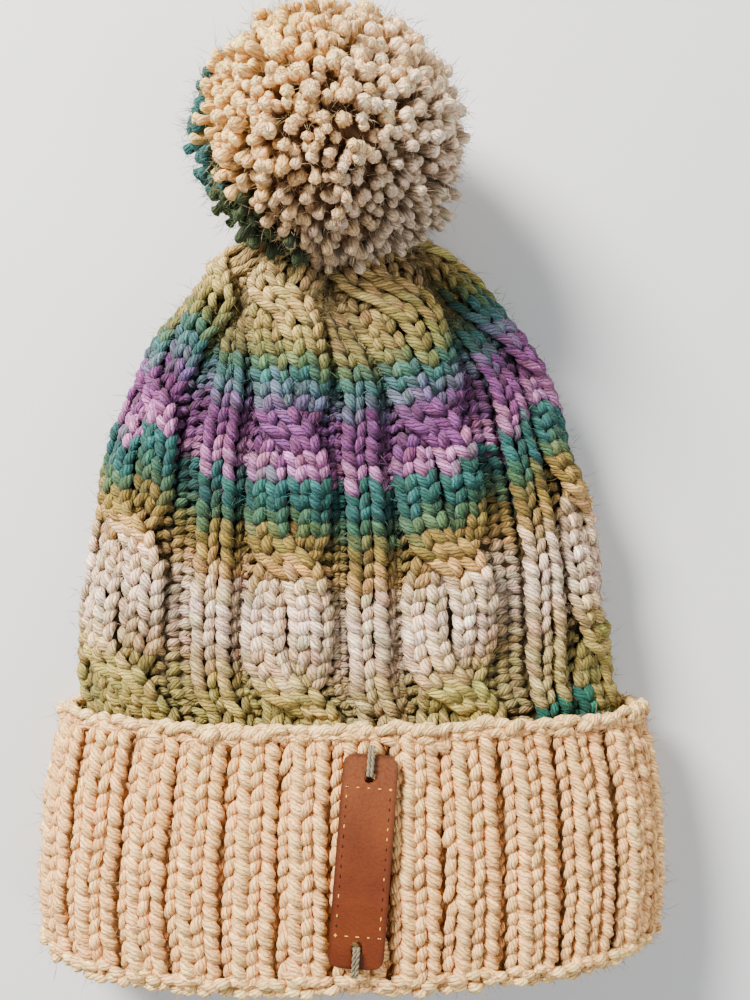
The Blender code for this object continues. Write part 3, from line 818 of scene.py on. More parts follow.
def knit_cuff_stitches(cloth):
    """Every leg of the cuff's ribs and gaps, the chain at its cast-on edge and the bumps at its fold."""
    knitter = Knitter(cloth, 31, CUFF_GIRTH)
    relief = np.array(RIB_RELIEF)
    rows = np.arange(0.0018, CUFF_EDGE + EDGE_RADIUS * 0.9, COURSE)
    outside = rows >= CUFF_INSIDE + 0.004
    for rib in range(CUFF_RIBS):
        wobble = wander(rows / 0.14, 100 + rib, 9)[:, None] * 0.035
        for right, lean, reach, lower, width, thick in CUFF_WALES:
            depth = float(np.interp(right, relief[:, 0], relief[:, 1]))

            def height_of(at, depth=depth, lower=lower):
                """The wale's height over the cloth: the ribs are shallower inside and at the edge."""
                out = smoothstep((at - CUFF_INSIDE) / 0.018)
                edge = smoothstep((at - CUFF_EDGE + 0.006) / 0.008)
                return -depth * (0.35 + 0.65 * out) * (1 - 0.7 * edge) - lower - 0.0006 * edge

            split = ((COARSE, ~outside), (FINE, outside)) if right < CUFF_GAP else ((COARSE, outside),)
            for form, some in split:
                course = rows[some]

                def turn_of(at, turn=cuff_turn(rib - CUFF_RIBS // 2 + right + wobble[some])):
                    """The wale's turn at a course, the same along each leg."""
                    return turn + 0 * at

                knitter.legs(form, course, turn_of, height_of, lean, reach, width, thick, course)
    links = np.arange(LINKS_PER_RIB * CUFF_RIBS)
    rng = knitter.rng
    for start, slant, lift, step, half in CUFF_CHAINS:
        course = start + wander(links / len(links), 77, 30) * 0.0010 + rng.normal(0, 0.0007, len(links))
        place = (links + step) / LINKS_PER_RIB - CUFF_RIBS // 2 + rng.normal(0, 0.03, len(links))
        high = lift + rng.normal(0, 0.0004, len(links))
        knitter.bars(
            FINE, course, cuff_turn(place), half, 0.0007, high, 0.0016, 0.00150, 0.00150, course,
            slant * rng.uniform(-0.4, 1.5, (len(links), 1)),
        )
    return knitter


def marled(colour, ends, sides, seed, amount=0.10, drift=0.035):
    """Tints for every vertex of tubes: each tube's colour, wandering a little in light and hue along it.

    ends holds a share of painted light for each station: painted shade where neighbours cover a stitch's two
    ends, and a painted highlight between.
    """
    rng = np.random.default_rng(seed)
    count, stations = len(colour), len(ends)
    light = rng.normal(0, amount, (count, stations, 1)) + rng.normal(0, amount * 0.6, (count, 1, 1))
    hue = rng.normal(0, drift, (count, stations, 3)) + rng.normal(0, drift, (count, 1, 3))
    along = np.clip(colour[:, None] * (1 + light + hue) * np.array(ends)[:, None], 0.004, 0.95)
    rings = np.repeat(along[:, 1:-1], sides, axis=1)
    return np.concatenate([rings, along[:, :1], along[:, -1:]], axis=1)


def hidden_light(height, deepest, darkest):
    """A share of light for stitches at this height over their cloth, down to darkest at the deepest."""
    return 1 - (1 - darkest) * smoothstep(-height / deepest)[:, None]


def crown_colours(turn, course, seed):
    """Colours of the self-striping yarn for stitches at these places."""
    rng = np.random.default_rng(seed)
    place = course - band_rise(turn) + wander(turn, 3, 24) * 0.0018 + wander(turn, 5, 90) * 0.0018
    place = place + rng.normal(0, 0.0007, len(turn))
    colour = band_colour(place)
    # Two of the front's narrow ribs are tan at their lower end, and a patch of teal lies at the lower right
    front = moved_place(turn)
    tan = np.exp(-((front - 0.02) / 0.24) ** 2) + 0.8 * np.exp(-((front - 1.12) / 0.22) ** 2)
    tan = 0.85 * (tan * smoothstep((0.0790 - place) / 0.0040))[:, None]
    colour = colour * (1 - tan) + linear("BFA274") * tan
    patch = (turn > 0.288) & (turn < 0.366) & (course < 0.0664 + 0.0020 * wander(turn, 8, 60))
    return np.where(patch[:, None], linear("1A5444"), colour)


class Shader:
    """A material with one Principled surface, and short calls that add a node and return its output."""

    def __init__(self, name, roughness, specular, plain=()):
        """Makes the material. plain holds further plain values of the surface, by their sockets' names."""
        self.material = bpy.data.materials.new(name)
        self.material.use_nodes = True
        self.tree = self.material.node_tree
        self.surface = self.tree.nodes["Principled BSDF"]
        values = {"Roughness": roughness, "Specular IOR Level": specular, **dict(plain)}
        for socket, value in values.items():
            self.surface.inputs[socket].default_value = value

    def feed(self, socket, value):
        """Gives an input a plain value, or links an output to it."""
        if isinstance(value, bpy.types.NodeSocket):
            self.tree.links.new(value, socket)
        else:
            socket.default_value = value

    def node(self, kind, inputs, **settings):
        """Adds a node with these settings, and feeds its inputs, which are named or numbered."""
        made = self.tree.nodes.new(kind)
        for name, value in settings.items():
            setattr(made, name, value)
        for socket, value in inputs.items():
            self.feed(made.inputs[socket], value)
        return made

    def place(self):
        """Object coordinates."""
        return self.node("ShaderNodeTexCoord", {}).outputs["Object"]

    def calc(self, operation, *values):
        """The result of a Math node on numbers and outputs."""
        return self.node("ShaderNodeMath", dict(enumerate(values)), operation=operation).outputs[0]

    def noise(self, vector, scale, detail):
        """The value of a Noise Texture."""
        inputs = {"Vector": vector, "Scale": scale, "Detail": detail}
        return self.node("ShaderNodeTexNoise", inputs).outputs[0]

    def split(self, vector):
        """A vector's three values."""
        return self.node("ShaderNodeSeparateXYZ", {0: vector}).outputs

    def scaled(self, vector, factor):
        """A vector times a number."""
        return self.node("ShaderNodeVectorMath", {0: vector, "Scale": factor}, operation="SCALE").outputs[0]

    def mixed(self, kind, factor, low, high):
        """The mix of two vectors or colours, as kind says."""
        made = self.node("ShaderNodeMix", {"Factor": factor}, data_type=kind)
        ends = [socket for socket in made.inputs if socket.type == kind and socket.name in ("A", "B")]
        for socket, value in zip(ends, (low, high)):
            self.feed(socket, value)
        return next(socket for socket in made.outputs if socket.type == kind)

    def bumped(self, height, strength, distance):
        """Gives the surface relief from a height between about 0 and 1."""
        inputs = {"Height": height, "Strength": strength, "Distance": distance}
        self.feed(self.surface.inputs["Normal"], self.node("ShaderNodeBump", inputs).outputs[0])


def yarn_material(name, ply_depth=0.00034, ply_shade=0.62, marl=0.36, sheen=0.08):
    """Plied yarn: stripes of plies from the piece's uv, each of its own tone, with painted shade in the
    grooves between them, and with fibres and fine mottle.

    A ply's phase is u less v. Its number picks its tone at random, and fibres are noise drawn out along it.
    """
    shader = Shader(name, 0.85, 0.22, {
        "Sheen Weight": sheen, "Sheen Roughness": 0.5, "Sheen Tint": (1.0, 0.95, 0.9, 1.0),
    })
    calc = shader.calc
    u, v, _ = shader.split(shader.node("ShaderNodeUVMap", {}, uv_map="yarn").outputs[0])
    where = shader.place()
    fine, mottle = shader.noise(where, 2200.0, 2.0), shader.noise(where, 380.0, 2.0)
    phase = calc("MULTIPLY_ADD", shader.noise(where, 800.0, 1.0), 0.9, calc("SUBTRACT", u, v))
    ply = calc("POWER", calc("ABSOLUTE", calc("SINE", calc("MULTIPLY", phase, 3.14159))), 0.6)
    tube = calc("FLOOR", calc("DIVIDE", calc("ADD", u, 4.0), float(YARN_STEP)))
    number = calc("FLOORED_MODULO", calc("FLOOR", phase), float(PLIES))
    drawn = shader.node("ShaderNodeCombineXYZ", {
        0: calc("MULTIPLY", phase, 4.5),
        1: calc("MULTIPLY", calc("ADD", u, v), 0.45),
        2: calc("MULTIPLY", tube, 3.0),
    })
    streak = shader.noise(drawn.outputs[0], 1.0, 3.0)
    relief = calc("MULTIPLY_ADD", streak, 0.9, calc("MULTIPLY_ADD", fine, 0.5, ply))
    shader.bumped(relief, 1.0, ply_depth)
    # Painted shade: the grooves between the plies are darker by ply_shade; streaks, mottle and fine noise
    # then vary the tone at random
    shade = calc("MULTIPLY_ADD", ply, ply_shade, 1.06 - 0.7 * ply_shade)
    for part, weight, least in ((streak, 2.1, -0.03), (mottle, 0.5, 0.76), (fine, 0.5, 0.76)):
        shade = calc("MULTIPLY", shade, calc("MULTIPLY_ADD", part, weight, least))
    tint = shader.node("ShaderNodeVertexColor", {}, layer_name="tint").outputs[0]
    pick = shader.node("ShaderNodeTexWhiteNoise", {}, noise_dimensions="1D")
    shader.feed(pick.inputs["W"], calc("MULTIPLY_ADD", tube, 10.0, number))
    # Dark plies are more ochre than pale ones
    own = shader.mixed(
        "VECTOR", pick.outputs["Value"], (1 - marl, 1 - 1.1 * marl, 1 - 1.4 * marl),
        (1 + marl, 1 + 1.05 * marl, 1 + 1.15 * marl),
    )
    lit = shader.node("ShaderNodeVectorMath", {0: shader.scaled(tint, shade), 1: own}, operation="MULTIPLY")
    shader.feed(shader.surface.inputs["Base Color"], lit.outputs[0])
    return shader.material


def leather_material():
    """Cognac leather: grain and mottling from noise, a painted sheen that makes its upper end paler, broken
    up by the grain, and a burnished edge.

    Across and along are Object coordinates turned with the label, and the edge darkens as it comes nearer.
    """
    shader = Shader("cognac_leather", 0.48, 0.30)
    calc = shader.calc
    where = shader.place()
    grain = shader.node("ShaderNodeTexVoronoi", {"Vector": where, "Scale": 1500.0}).outputs["Distance"]
    broad, fine = shader.noise(where, 90.0, 3.0), shader.noise(where, 1400.0, 3.0)
    shader.bumped(calc("MULTIPLY_ADD", fine, 0.6, grain), 0.6, 0.00012)
    ramp = shader.node("ShaderNodeValToRGB", {
        0: calc("MULTIPLY_ADD", fine, 0.25, calc("MULTIPLY", broad, 0.78)),
    })
    for stop, position, code in zip(ramp.color_ramp.elements, (0.30, 0.72), ("561F07", "72330F")):
        stop.position, stop.color = position, (*linear(code), 1)
    x, y, _ = (
        calc("SUBTRACT", value, float(middle))
        for value, middle in zip(shader.split(where), (*(TO_ROW_FRAME[:2] + LABEL_CENTRE), 0.0))
    )
    cosine, sine = math.cos(LABEL_TURN), math.sin(LABEL_TURN)
    across = calc("MULTIPLY_ADD", x, cosine, calc("MULTIPLY", y, sine))
    along = calc("MULTIPLY_ADD", y, cosine, calc("MULTIPLY", x, -sine))
    sides = calc("SUBTRACT", LABEL_WIDTH / 2, calc("ABSOLUTE", across))
    ends = calc("SUBTRACT", LABEL_LENGTH / 2, calc("ABSOLUTE", along))
    edge = calc("MULTIPLY", calc("MINIMUM", sides, ends), 1 / BURNISHED)
    edge = calc("MINIMUM", calc("MULTIPLY_ADD", edge, 0.5, 0.5), 1.0)
    # Painted sheen: the upper end is paler, most of all on the grain's pebbles
    rise = calc("MAXIMUM", calc("MULTIPLY_ADD", along, 1 / LABEL_LENGTH, 0.5), 0.0)
    pebble = calc("MULTIPLY_ADD", grain, -0.7, 0.95)
    pale = calc("MULTIPLY", calc("MULTIPLY", calc("POWER", rise, 2.2), pebble), 0.50)
    colour = shader.mixed("RGBA", pale, ramp.outputs[0], (*linear("96623F"), 1))
    shader.feed(shader.surface.inputs["Base Color"], shader.scaled(colour, edge))
    return shader.material


def finish_piece(made, material, slot, *nodes):
    """Gives a piece its material and body, and hides the CAD nodes it stands for. slot is not used."""
    made.data.materials.clear()
    made.data.materials.append(material)
    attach(made, "root")
    if nodes:
        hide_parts(*nodes)
    return made


def grid_mesh(name, points, colours, fans=True):
    """A tube of grid rows, whose second parameter closes on itself. Fans close its ends, or its ends meet."""
    rows, columns = points.shape[:2]
    flat, tints = settled(points).reshape(-1, 3), colours.reshape(-1, 3)
    r, c = np.meshgrid(np.arange(rows - 1 if fans else rows), np.arange(columns), indexing="ij")
    corners = [(r, c), (r, c + 1), (r + 1, c + 1), (r + 1, c)]
    quads = np.stack([i % rows * columns + j % columns for i, j in corners], axis=-1)
    faces = quads.reshape(-1, 4).tolist()
    for row, order in ((0, -1), (rows - 1, 1)):
        if fans:
            flat = np.concatenate([flat, points[row].mean(axis=0)[None]])
            tints = np.concatenate([tints, colours[row].mean(axis=0)[None]])
            ring = row * columns + np.arange(columns)
            fan = np.column_stack([ring, np.roll(ring, -1), np.full(columns, len(flat) - 1)])
            faces += fan[:, ::order].tolist()
    mesh = bpy.data.meshes.new(name)
    mesh.from_pydata(flat.tolist(), [], faces)
    uv = np.zeros((len(mesh.loops), 2))
    uv[:quads.size] = FABRIC_PLIES * np.array(corners).transpose(2, 3, 0, 1).reshape(-1, 2)
    layer = mesh.uv_layers.new(name="yarn")
    layer.data.foreach_set("uv", uv.astype(np.float32).ravel())
    return linked(mesh, tints)


def knitted_piece(name, stitches, keep, colours, seed, amount, drift, material, slot, node):
    """One object of stitches. stitches is what Knitter.done returns, and keep picks some of them."""
    form, parts, _ = stitches
    points, faces, uv = tubes(*(part[keep] for part in parts), form.sides)
    tint = marled(colours[keep], form.light, form.sides, seed, amount, drift)
    return finish_piece(joined_mesh(name, points, faces, uv, tint), material, slot, node)


def fuzz(name, made, count, seed, reach, slot, clear=None):
    """Loose fibres standing off a piece: thin bent spindles with three sides, started at its vertices.

    A hair leaves along its vertex's normal, turned at random, and bends by the square of the way along it.
    clear is a box in x and y, (low, high), that they keep out of.
    """
    mesh = made.data
    spots, normals, tints = (np.empty(len(mesh.vertices) * size) for size in (3, 3, 4))
    mesh.vertices.foreach_get("co", spots)
    mesh.vertex_normals.foreach_get("vector", normals)
    mesh.color_attributes["tint"].data.foreach_get("color", tints)
    spots, normals, tints = spots.reshape(-1, 3), normals.reshape(-1, 3), tints.reshape(-1, 4)[:, :3]
    high = spots.max(axis=0)
    middle = (spots.min(axis=0) + high) / 2
    away = (spots - middle) / (high - middle)
    away[:, 1] *= 0.3 if slot != "pompom_yarn" else 1.0
    facing = (normals * away).sum(axis=1) > 0.35
    if clear is not None:
        facing &= ((spots[:, :2] < clear[0]) | (spots[:, :2] > clear[1])).any(axis=1)
    rng = np.random.default_rng(seed)
    chosen = rng.choice(np.nonzero(facing)[0], count)
    length = rng.uniform(0.25, 1.0, (count, 1)) ** 1.5 * reach
    lean = normals[chosen] * 0.7 + rng.normal(0, 0.55, (count, 3))
    bend = rng.normal(0, 0.45, (count, 3))
    way = np.array([0.0, 0.45, 1.0])[None, :, None]
    line = spots[chosen][:, None] + length[:, None] * (lean[:, None] * way + bend[:, None] * way ** 2)
    side = np.cross(lean, [0.31, 0.52, 0.80])
    side /= np.linalg.norm(side, axis=1, keepdims=True)
    outward = np.cross(side, lean)
    outward /= np.linalg.norm(outward, axis=1, keepdims=True)
    thin = np.full((count, 1), FIBRE_RADIUS)
    points, faces, uv = tubes(line, side[:, None], outward[:, None], thin, thin, 3)
    # Fibres are paler than the yarn they come from
    colour = np.clip(tints[chosen] / tints[chosen].max(axis=1, keepdims=True) * 0.55, 0.02, 0.95)
    colour = np.repeat((colour + tints[chosen])[:, None] / 1.4, points.shape[1], axis=1)
    hairs = joined_mesh(name, points, faces, uv, colour)
    return finish_piece(hairs, mesh.materials[0], slot)


def crown_shell():
    """Rings and colours of the crown's own fabric: down inside it from its tip to the join, and back outside.

    Outside it stays just below the stitches. It overlaps the cuff's fabric, so that no slit shows.
    """
    even = CROWN_REPEATS / 2 - np.arange(224) / 28
    turns = crown_turn(even)
    start = JOIN - SHELL_OVERLAP
    ys = np.linspace(start, CROWN_TIP - 0.003, 64)
    outer = []
    for y in ys:
        moved, sunk = repeat_place(even, np.full(len(even), y))
        room = np.interp(y, (0.070, 0.086), (0.0046, 0.0069))
        depth = np.minimum(0.0057 + sunk * 0.25, room)
        outer.append(outline(CROWN_SECTIONS, y, crown_turn(shifted(moved, y)), depth))
    inner_ys = np.linspace(0.2010, start, 22)
    inner = [outline(HOLLOW_SECTIONS, y, turns, 0.0) for y in inner_ys]
    at_y = np.concatenate([inner_ys, ys])[:, None] + 0 * turns[None]
    # Painted shade: the fabric inside the crown is darkened to 0.75, and the fabric outside, below the
    # stitches, to 0.20
    light = np.repeat([0.75, 0.20], [len(inner), len(outer)])[:, None, None]
    return np.stack(inner + outer), band_colour(at_y - side_rise(turns[None], at_y)) * light


def cuff_shell():
    """Rings of the cuff's own fabric: both its faces, just below the stitches, and the slit between them."""
    relief = np.array(RIB_RELIEF)
    even = CUFF_RIBS / 2 - np.arange(10 * CUFF_RIBS) / 10
    turns = cuff_turn(even)
    sunk = np.interp(np.mod(even, 1.0), relief[:, 0], relief[:, 1])
    rings = []
    for y, depth in zip(*cuff_path(np.linspace(0, CUFF_EDGE, 42))):
        share = (depth - CUFF_WALL / 2) / (CUFF_WALL / 2)
        inward = 0.0030 * math.sqrt(max(0.0, 1 - share * share))
        below = depth - share * 0.0025 + sunk * (1 - share) / 2
        rings.append(outline(CUFF_SECTIONS, y + inward, turns, below))
    slit = LAYER + LAYER_GAP
    for y, depth in (
        (CUFF_LENGTH - 0.0016, LAYER - 0.0010), (0.040, LAYER), (0.012, LAYER), (0.012, slit), (0.040, slit),
        (JOIN, slit),
    ):
        rings.append(outline(CUFF_SECTIONS, y, turns, depth + 0 * turns))
    return edge_raised(np.stack(rings))


def strand_directions(count, rng):
    """Directions spread evenly over a ball on a golden spiral, each moved a little."""
    k = np.arange(count) + 0.5
    z = 1 - 2 * k / count
    ring = np.sqrt(1 - z * z)
    angle = math.pi * (1 + 5 ** 0.5) * k
    direction = np.column_stack([ring * np.cos(angle), ring * np.sin(angle), z])
    direction += rng.normal(0, 0.017, direction.shape)
    return direction / np.linalg.norm(direction, axis=1, keepdims=True)


def strand_tubes(direction, rng):
    """Tubes of the pompom's strands: each runs from the tie to its place on the ball, and bends a little.

    Towards the crown the strands stand further apart and less even. At the lower left they are short, and one
    below is long.
    """
    count = len(direction)
    loose = np.clip(direction @ [0.25, -0.96, 0.10], 0, 1)
    reach = 0.968 + rng.normal(0, 0.024, count) * (1 + loose)
    reach = reach + 0.008 * direction[:, 0] - 0.028 * np.abs(direction[:, 1])
    reach = reach - 0.075 * np.clip(direction @ [-0.45, -0.89, 0.0], 0, 1) ** 2
    reach[np.argmax(direction @ [0.16, -0.93, 0.33])] += 0.10
    end = POMPOM_CENTRE + direction * POMPOM_RADII * reach[:, None]
    start = POMPOM_CENTRE + POMPOM_TIE
    way = STRAND_STATIONS[None, :, None]
    bend = rng.normal(0, 0.0018, (count, 1, 3)) * ((way - 0.5) * (1 - way) * 7)
    tip = rng.normal(0, 0.0011, (count, 1, 3)) * smoothstep((way - 0.6) / 0.4)
    line = start + (end - start)[:, None] * way + bend + tip
    line[..., 2] = np.maximum(line[..., 2], 0.0010)
    helper = np.where(np.abs(direction[:, 2:]) < 0.9, [[0.0, 0, 1]], [[1.0, 0, 0]])[:, None]
    side, outward = frames_along(line, helper)
    shape = STRAND_SHAPE
    size = rng.uniform(0.00142, 0.00190, (count, 1)) * shape * (1 - 0.20 * loose[:, None])
    ragged = 1 + rng.normal(0, 0.15, (count, len(shape), 2))
    points, faces, uv = tubes(line, side, outward, size * ragged[..., 0], size * ragged[..., 1], STRAND_SIDES)
    # The plies of a cut end lie nearly straight
    uv[..., 0] -= 0.6 * np.mod(uv[..., 0], YARN_STEP)
    return points, faces, uv


def strand_colours(direction, rng):
    """Strands from gold at the left through cream to white at the right, with teal and olive far left, and
    darker below by painted shade.
    """
    count = len(direction)
    colour = linear("F0C078")
    across = direction @ [0.85, -0.42, -0.1] + rng.normal(0, 0.20, count)
    for code, start, reach in (("E9C08E", -0.75, 0.9), ("EACEB0", 0.0, 0.8)):
        mix = smoothstep((across - start) / reach)[:, None]
        colour = colour * (1 - mix) + linear(code) * mix
    teal = (direction[:, 0] < -0.84 + rng.normal(0, 0.03, count)) & (direction[:, 2] < 0.46)
    olive = (direction @ [-0.74, -0.66, -0.1] > 0.80 + rng.normal(0, 0.03, count)) & (direction[:, 2] < 0.5)
    colour = np.where(teal[:, None], linear("285350"), colour)
    colour = np.where((olive & ~(teal & (direction[:, 1] > -0.4)))[:, None], linear("3B4729"), colour)
    # Painted shade: strands on the pompom's lower side are darker
    colour = colour * (1 - 0.30 * np.clip(direction @ [0.20, -0.97, -0.1], 0, 1)[:, None])
    return np.clip(colour * (1 + rng.normal(0, 0.06, (count, 1))), 0, 0.95)


def strand_tints(colour, direction):
    """Tints of the strands' vertices, with painted shade: they turn brown and dark towards the tie, most of
    all below.
    """
    light = STRAND_LIGHT
    tint = marled(colour, light, STRAND_SIDES, POMPOM_SEED + 1, 0.03, 0.012)
    # Painted shade: darker and browner towards the tie, where the strands cover each other
    deep = 1 - np.clip((light[1:-1] - 0.2) / 0.7, 0, 1)
    deep = np.concatenate([np.repeat(deep, STRAND_SIDES), [1, 0]])[:, None]
    # Painted shade on the pompom's lower side
    below = 0.8 * np.clip(direction @ [0.25, -0.95, 0.0], 0, 1)[:, None, None] * deep
    return np.clip(tint * (1 - deep * np.array([0.0, 0.24, 0.52])) * (1 - below), 0.003, 0.95)


def pompom_ball(rows=28, columns=56):
    """Rings of the core, which keeps light from shining through between the strands."""
    polar = np.linspace(0.02, math.pi - 0.02, rows)[:, None]
    around = np.arange(columns) / columns * 2 * math.pi
    ball = np.stack([
        np.sin(polar) * np.cos(around), np.sin(polar) * np.sin(around), 0 * around - np.cos(polar)
    ], axis=-1)
    return POMPOM_CENTRE + ball * POMPOM_RADII * POMPOM_CORE


def press_border():
    """Presses dashes of gold into the label along its border. At its sides most are dents instead, dark with
    painted shade.
    """
    gold = Shader("gold_foil", 0.32, 0.5, {"Metallic": 0.2, "Base Color": (0.95, 0.52, 0.09, 1)}).material
    dent = Shader("label_dent", 0.7, 0.2, {"Base Color": (*linear("3A160A"), 1)}).material
    rng = np.random.default_rng(51)
    down, over = (
        np.linspace(-half, half, count)
        for half, count in zip((BORDER_HALF_LENGTH, BORDER_HALF_WIDTH), BORDER_DASHES)
    )
    spots = [(end * BORDER_HALF_WIDTH, y, 0.0, 1.0) for end in (-1, 1) for y in down]
    spots += [(x, end * BORDER_HALF_LENGTH, 1.0, 0.0) for end in (-1, 1) for x in over]
    across, along, flat, upright = np.array(spots, float).T
    half = rng.uniform(0.00032, 0.00052, len(across))[:, None] * DASH_SPAN[None, :]
    line = on_label(
        across[:, None] + flat[:, None] * half, along[:, None] + upright[:, None] * half,
        LABEL_THICKNESS / 2 + 0.00004,
    )
    side = np.column_stack([upright, -flat, 0 * flat])[:, None] + np.zeros((1, 5, 1))
    thin = np.broadcast_to(np.array([0.7, 1, 1, 1, 0.7]) * DASH_HALF_WIDTH, (len(across), 5))
    points, faces, uv = tubes(line, side, np.zeros_like(side) + [0.0, 0, 1], thin, thin * 0.6, 6)
    # Painted shade: most dashes at the sides are dark dents
    shaded_dents = (upright > 0) & (rng.uniform(0, 1, len(across)) < 0.7)
    for name, some, look in (("label_dashes", ~shaded_dents, gold), ("label_dents", shaded_dents, dent)):
        made = joined_mesh(name, points[some], faces, uv[some], np.ones(points[some].shape))
        finish_piece(made, look, "label_leather")


def sew_thread(end, name, material):
    """Sews one end of the label: two stitches side by side, each of two plies twisted round each other."""
    inner, outer = LABEL_LENGTH / 2 - HOLE_INSET, LABEL_LENGTH / 2 + THREAD_OVERHANG
    way = np.linspace(0, 1, 44)
    route = (
        inner, inner + 0.0001, inner + 0.0009, (inner + outer) / 2, outer - 0.0009, outer - 0.0002, outer,
    )
    top = THREAD_TOP
    heights = (-0.0004, top * 0.75, top, top + 0.0001, top, top * 0.45, -0.0002)
    along, high = smooth_between(THREAD_WAY, route, way), smooth_between(THREAD_WAY, heights, way)
    lines = []
    for across, lift in ((-0.00045, 0.0), (0.00045, 0.00012)):
        for ply in (0, 1):
            twist = way * 22 + ply * math.pi + across * 4000
            sway = across + 0.00026 * np.cos(twist)
            lines.append(on_label(sway, end * along, high + lift + 0.00024 * np.sin(twist)))
    side, outward = frames_along(np.stack(lines), [1.0, 0.02, 0.0])
    thin = np.full(side.shape[:2], THREAD_PLY)
    points, faces, uv = tubes(np.stack(lines), side, outward, thin, thin, 8)
    colour = np.broadcast_to(linear("7C7058"), points.shape)
    thread = joined_mesh("label_thread_" + name + "_plies", points, faces, uv, colour)
    finish_piece(thread, material, "label_thread", "label_thread_" + name)


class HatSettings(bpy.types.PropertyGroup):
    """Sizes and colours that a user of the hat might change."""

    cuff_colour: FloatVectorProperty(
        name="Cuff yarn", description="Colour of the cuff's yarn", subtype="COLOR", size=3, min=0, max=1,
        default=(0.97, 0.580, 0.238),
    )
    fibre_length: FloatProperty(
        name="Fibre length", description="Length of the longest loose fibres", default=0.0035, min=0.0005,
        max=0.01, unit="LENGTH",
    )
    pompom_strands: IntProperty(
        name="Pompom strands", description="Number of cut yarn ends in the pompom", default=1640, min=400,
        max=3200,
    )
    lamp_power: FloatProperty(
        name="Lamp power", description="Power of the large soft lamp in watts", default=40.0, min=0.1,
        max=100.0,
    )
    floor_colour: FloatVectorProperty(
        name="Floor", description="Colour of the floor", subtype="COLOR", size=3, min=0, max=1,
        default=(0.80, 0.79, 0.78),
    )


class HAT_OT_knit_crown(bpy.types.Operator):
    """Knit the cabled crown"""

    bl_idname = "hat.knit_crown"
    bl_label = "Knit crown"
    bl_options = {"REGISTER", "UNDO"}

    def execute(self, context):
        knitter = knit_crown_stitches(crown_cloth())
        material = yarn_material("striped_yarn")
        length = context.scene.hat.fibre_length
        for form, seed, darkest in ((FINE, 21, 0.35), (COARSE, 24, 0.60)):
            stitches = knitter.done(form)
            turn, course, height = stitches[2].T
            # Painted shade: stitches that lie deeper below the relief are darker, down to darkest
            colours = crown_colours(turn, course, seed) * hidden_light(height, 0.0064, darkest)
            lower = course < np.median(course)
            halves = {"crown_stitches_lower": lower, "crown_stitches_upper": ~lower}
            whole = {"crown_purl": lower | ~lower}
            for name, keep in (halves if form is FINE else whole).items():
                made = knitted_piece(
                    name, stitches, keep, colours, seed + 1, 0.10, 0.035, material, "crown_yarn", "crown"
                )
                if form is FINE:
                    fuzz(name.replace("stitches", "fuzz"), made, CROWN_FIBRES, seed + 2, length, "crown_yarn")
        rings, tint = crown_shell()
        finish_piece(grid_mesh("crown_fabric", rings[:, ::-1], tint[:, ::-1]), material, "crown_yarn")
        return {"FINISHED"}


class HAT_OT_knit_cuff(bpy.types.Operator):
    """Knit the ribbed, turned-up cuff"""

    bl_idname = "hat.knit_cuff"
    bl_label = "Knit cuff"
    bl_options = {"REGISTER", "UNDO"}

    def execute(self, context):
        knitter = knit_cuff_stitches(cuff_cloth())
        base = np.array(context.scene.hat.cuff_colour[:])
        material = yarn_material("cream_yarn", 0.00030, 0.44, 0.18)
        for form, name in ((COARSE, "cuff_stitches_inner"), (FINE, "cuff_stitches_outer")):
            stitches = knitter.done(form)
            # Painted shade: stitches in the gaps are darker, and more ochre
            lit = hidden_light(stitches[2][:, 2], 0.0050, 0.45)
            colours = base * (1 - (1 - lit) * np.array([0.65, 0.95, 1.15]))
            every = np.full(len(lit), True)
            made = knitted_piece(
                name, stitches, every, colours, 32, 0.05, 0.014, material, "cuff_yarn", "cuff"
            )
        middle = TO_ROW_FRAME[:2] + LABEL_CENTRE
        covered = (middle - LABEL_CLEAR, middle + LABEL_CLEAR)
        fuzz("cuff_fuzz", made, CUFF_FIBRES, 33, context.scene.hat.fibre_length, "cuff_yarn", covered)
        rings = cuff_shell()
        # Painted shade: the cuff's own fabric, below the stitches and inside, is darkened to 0.42 of the
        # yarn's colour
        shade = np.broadcast_to(base * 0.42, rings.shape)
        finish_piece(grid_mesh("cuff_fabric", rings[:, ::-1], shade, fans=False), material, "cuff_yarn")
        return {"FINISHED"}


class HAT_OT_tie_pompom(bpy.types.Operator):
    """Tie the pompom of cut yarn ends"""

    bl_idname = "hat.tie_pompom"
    bl_label = "Tie pompom"
    bl_options = {"REGISTER", "UNDO"}

    def execute(self, context):
        settings = context.scene.hat
        rng = np.random.default_rng(POMPOM_SEED)
        direction = strand_directions(settings.pompom_strands, rng)
        points, faces, uv = strand_tubes(direction, rng)
        tint = strand_tints(strand_colours(direction, rng), direction)
        made = joined_mesh("pompom_strands", points, faces, uv, tint)
        material = yarn_material("pompom_yarn", 0.00040, 0.22, 0.18)
        finish_piece(made, material, "pompom_yarn", "pompom")
        fuzz("pompom_fuzz", made, POMPOM_FIBRES, POMPOM_SEED + 2, settings.fibre_length, "pompom_yarn")
        rings = pompom_ball()
        # Painted shade: the core is dark brown, for the shaded inside of the pompom
        core = grid_mesh("pompom_core", rings, np.broadcast_to(linear("8A6240") * 0.55, rings.shape))
        finish_piece(core, material, "pompom_yarn")
        return {"FINISHED"}


class HAT_OT_sew_label(bpy.types.Operator):
    """Finish the leather label and its two threads"""

    bl_idname = "hat.sew_label"
    bl_label = "Sew label"
    bl_options = {"REGISTER", "UNDO"}

    def execute(self, context):
        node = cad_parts["label"]
        node.data.materials.clear()
        node.data.materials.append(leather_material())
        press_border()
        material = yarn_material("sewing_thread", 0.00005, 0.3, 0.15)
        for end, name in ((1, "top"), (-1, "bottom")):
            sew_thread(end, name, material)
        return {"FINISHED"}


